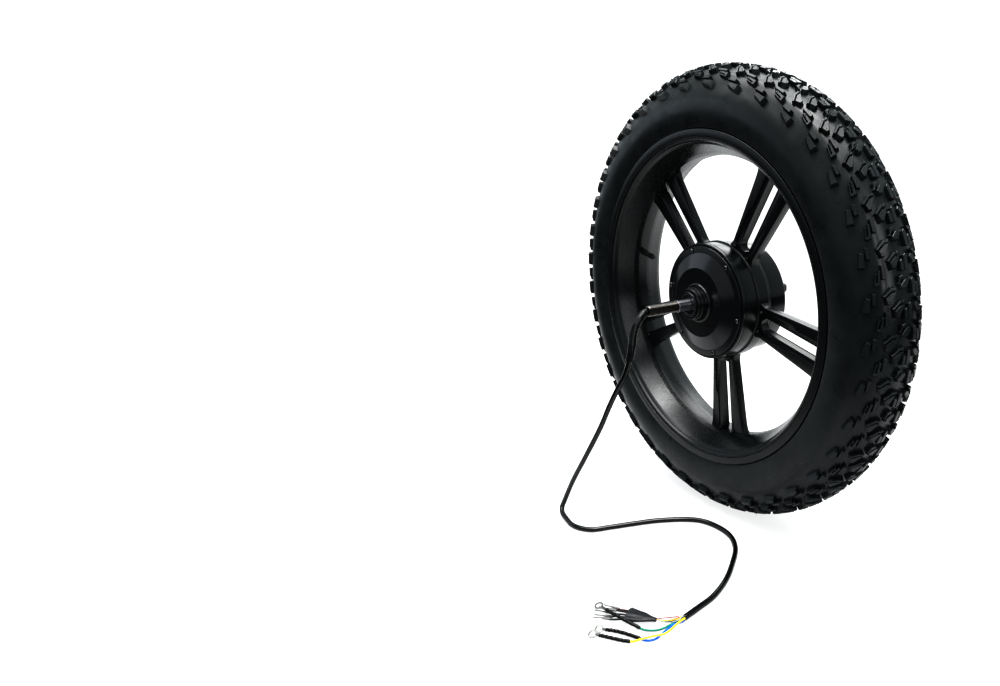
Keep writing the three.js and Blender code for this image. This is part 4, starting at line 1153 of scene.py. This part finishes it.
f_not.inputs[0].default_value = 1.0
ft.links.new(f_path.outputs["Is Camera Ray"], f_not.inputs[1])
f_dark = ft.nodes.new("ShaderNodeMath")
f_dark.operation = "MULTIPLY"
ft.links.new(f_max.outputs[0], f_dark.inputs[0])
ft.links.new(f_not.outputs[0], f_dark.inputs[1])
f_black = ft.nodes.new("ShaderNodeBsdfDiffuse")
f_black.inputs["Color"].default_value = (0.04, 0.04, 0.04, 1)
f_mix2 = ft.nodes.new("ShaderNodeMixShader")
ft.links.new(f_dark.outputs[0], f_mix2.inputs[0])
ft.links.new(f_mix.outputs[0], f_mix2.inputs[1])
ft.links.new(f_black.outputs[0], f_mix2.inputs[2])
ft.links.new(f_mix2.outputs[0], f_out.inputs[0])
floor_me.materials.append(FLOOR_MAT)

world = bpy.data.worlds.new("studio")
bpy.context.scene.world = world
world.use_nodes = True
wt = world.node_tree
wt.nodes.clear()
wo = wt.nodes.new("ShaderNodeOutputWorld")
w_seen = wt.nodes.new("ShaderNodeBackground")
w_seen.inputs["Color"].default_value = (1, 1, 1, 1)
w_seen.inputs["Strength"].default_value = 1.0
w_fill = wt.nodes.new("ShaderNodeBackground")
w_fill.inputs["Color"].default_value = (0.88, 0.97, 1, 1)
# the room is bright behind and to the left of the wheel and dark on the camera's side
w_tc = wt.nodes.new("ShaderNodeTexCoord")
w_dot = wt.nodes.new("ShaderNodeVectorMath")
w_dot.operation = "DOT_PRODUCT"
w_dot.inputs[1].default_value = (-0.45, 0.82, 0.35)
wt.links.new(w_tc.outputs["Generated"], w_dot.inputs[0])
w_map = wt.nodes.new("ShaderNodeMapRange")
w_map.interpolation_type = "SMOOTHSTEP"
w_map.inputs["From Min"].default_value = 0.12
w_map.inputs["From Max"].default_value = 0.9
w_map.inputs["To Min"].default_value = 0.44
w_map.inputs["To Max"].default_value = 0.5
wt.links.new(w_dot.outputs["Value"], w_map.inputs["Value"])
wt.links.new(w_map.outputs["Result"], w_fill.inputs["Strength"])
path_node = wt.nodes.new("ShaderNodeLightPath")
w_mix = wt.nodes.new("ShaderNodeMixShader")
wt.links.new(path_node.outputs["Is Camera Ray"], w_mix.inputs[0])
wt.links.new(w_fill.outputs[0], w_mix.inputs[1])
wt.links.new(w_seen.outputs[0], w_mix.inputs[2])
wt.links.new(w_mix.outputs[0], wo.inputs[0])


def softbox(name, at, target, size, power, color=(1, 1, 1)):
    la = bpy.data.lights.new(name, "AREA")
    la.shape = "RECTANGLE"
    la.size, la.size_y = size
    la.energy = power
    la.color = color
    o = bpy.data.objects.new(name, la)
    bpy.context.scene.collection.objects.link(o)
    o.location = at
    o.rotation_euler = (Vector(target) - Vector(at)).to_track_quat("-Z", "Y").to_euler()
    return o


softbox("top_box", (-0.15, -0.1, 2.3), (-0.15, -0.1, 0), (2.9, 2.4), 100)
softbox("key_box", (0.15, -0.2, 2.2), (0, 0, 0), (0.7, 0.7), 22)
softbox("right_box", (2.0, -0.35, 0.75), (0.25, 0, 0.05), (0.9, 1.5), 13)
softbox("left_front_box", (-1.35, -0.98, 0.66), (0, 0, 0), (0.9, 0.8), 1.8, (0.80, 0.87, 1))
softbox("back_top_box", (-0.7, 1.25, 1.45), (0, 0, 0), (0.7, 0.7), 6.5)
softbox("back_left_box", (-1.3, 1.7, 0.9), (0, 0, 0), (1.0, 1.4), 8)

cam_data = bpy.data.cameras.new("camera")
cam = bpy.data.objects.new("camera", cam_data)
bpy.context.scene.collection.objects.link(cam)
bpy.context.scene.camera = cam
AZ, EL, ROLL = math.radians(46.523), math.radians(14.438), math.radians(-0.12)
CAM_AT = (0.6738, -0.6000, 0.1728)
fwd = -Vector((math.sin(AZ) * math.cos(EL), -math.cos(AZ) * math.cos(EL), math.sin(EL)))
right = fwd.cross(Vector((0, 0, 1))).normalized()
upv = right.cross(fwd)
r2 = right * math.cos(ROLL) + upv * math.sin(ROLL)
u2 = -right * math.sin(ROLL) + upv * math.cos(ROLL)
cam.matrix_world = basis(r2, u2, -fwd, CAM_AT)
cam_data.sensor_width = 36
cam_data.lens = 24.05
cam_data.clip_start = 0.02
cam_data.clip_end = 60


cam_home = bpy.data.objects.new("camera_home", None)
bpy.context.scene.collection.objects.link(cam_home)
cam_home.location = CAM_AT


def shift_here(prop, value):
    """The lens is shifted only while the camera stands at its own place, so that other views stay centred."""
    setattr(cam_data, prop, value)
    fc = cam_data.driver_add(prop)
    dr = fc.driver
    dr.type = "SUM"
    var = dr.variables.new()
    var.name = "d"
    var.type = "LOC_DIFF"
    var.targets[0].id = cam
    var.targets[1].id = cam_home
    while fc.modifiers:
        fc.modifiers.remove(fc.modifiers[0])
    for x, y in ((0, value), (0.05, 0)):
        kp = fc.keyframe_points.insert(x, y)
        kp.interpolation = "LINEAR"
    fc.extrapolation = "CONSTANT"


shift_here("shift_x", -0.24397)
shift_here("shift_y", -0.0029)

sc = bpy.context.scene
sc.view_settings.view_transform = "Standard"
sc.view_settings.look = "High Contrast"
sc.view_settings.exposure = 0.0
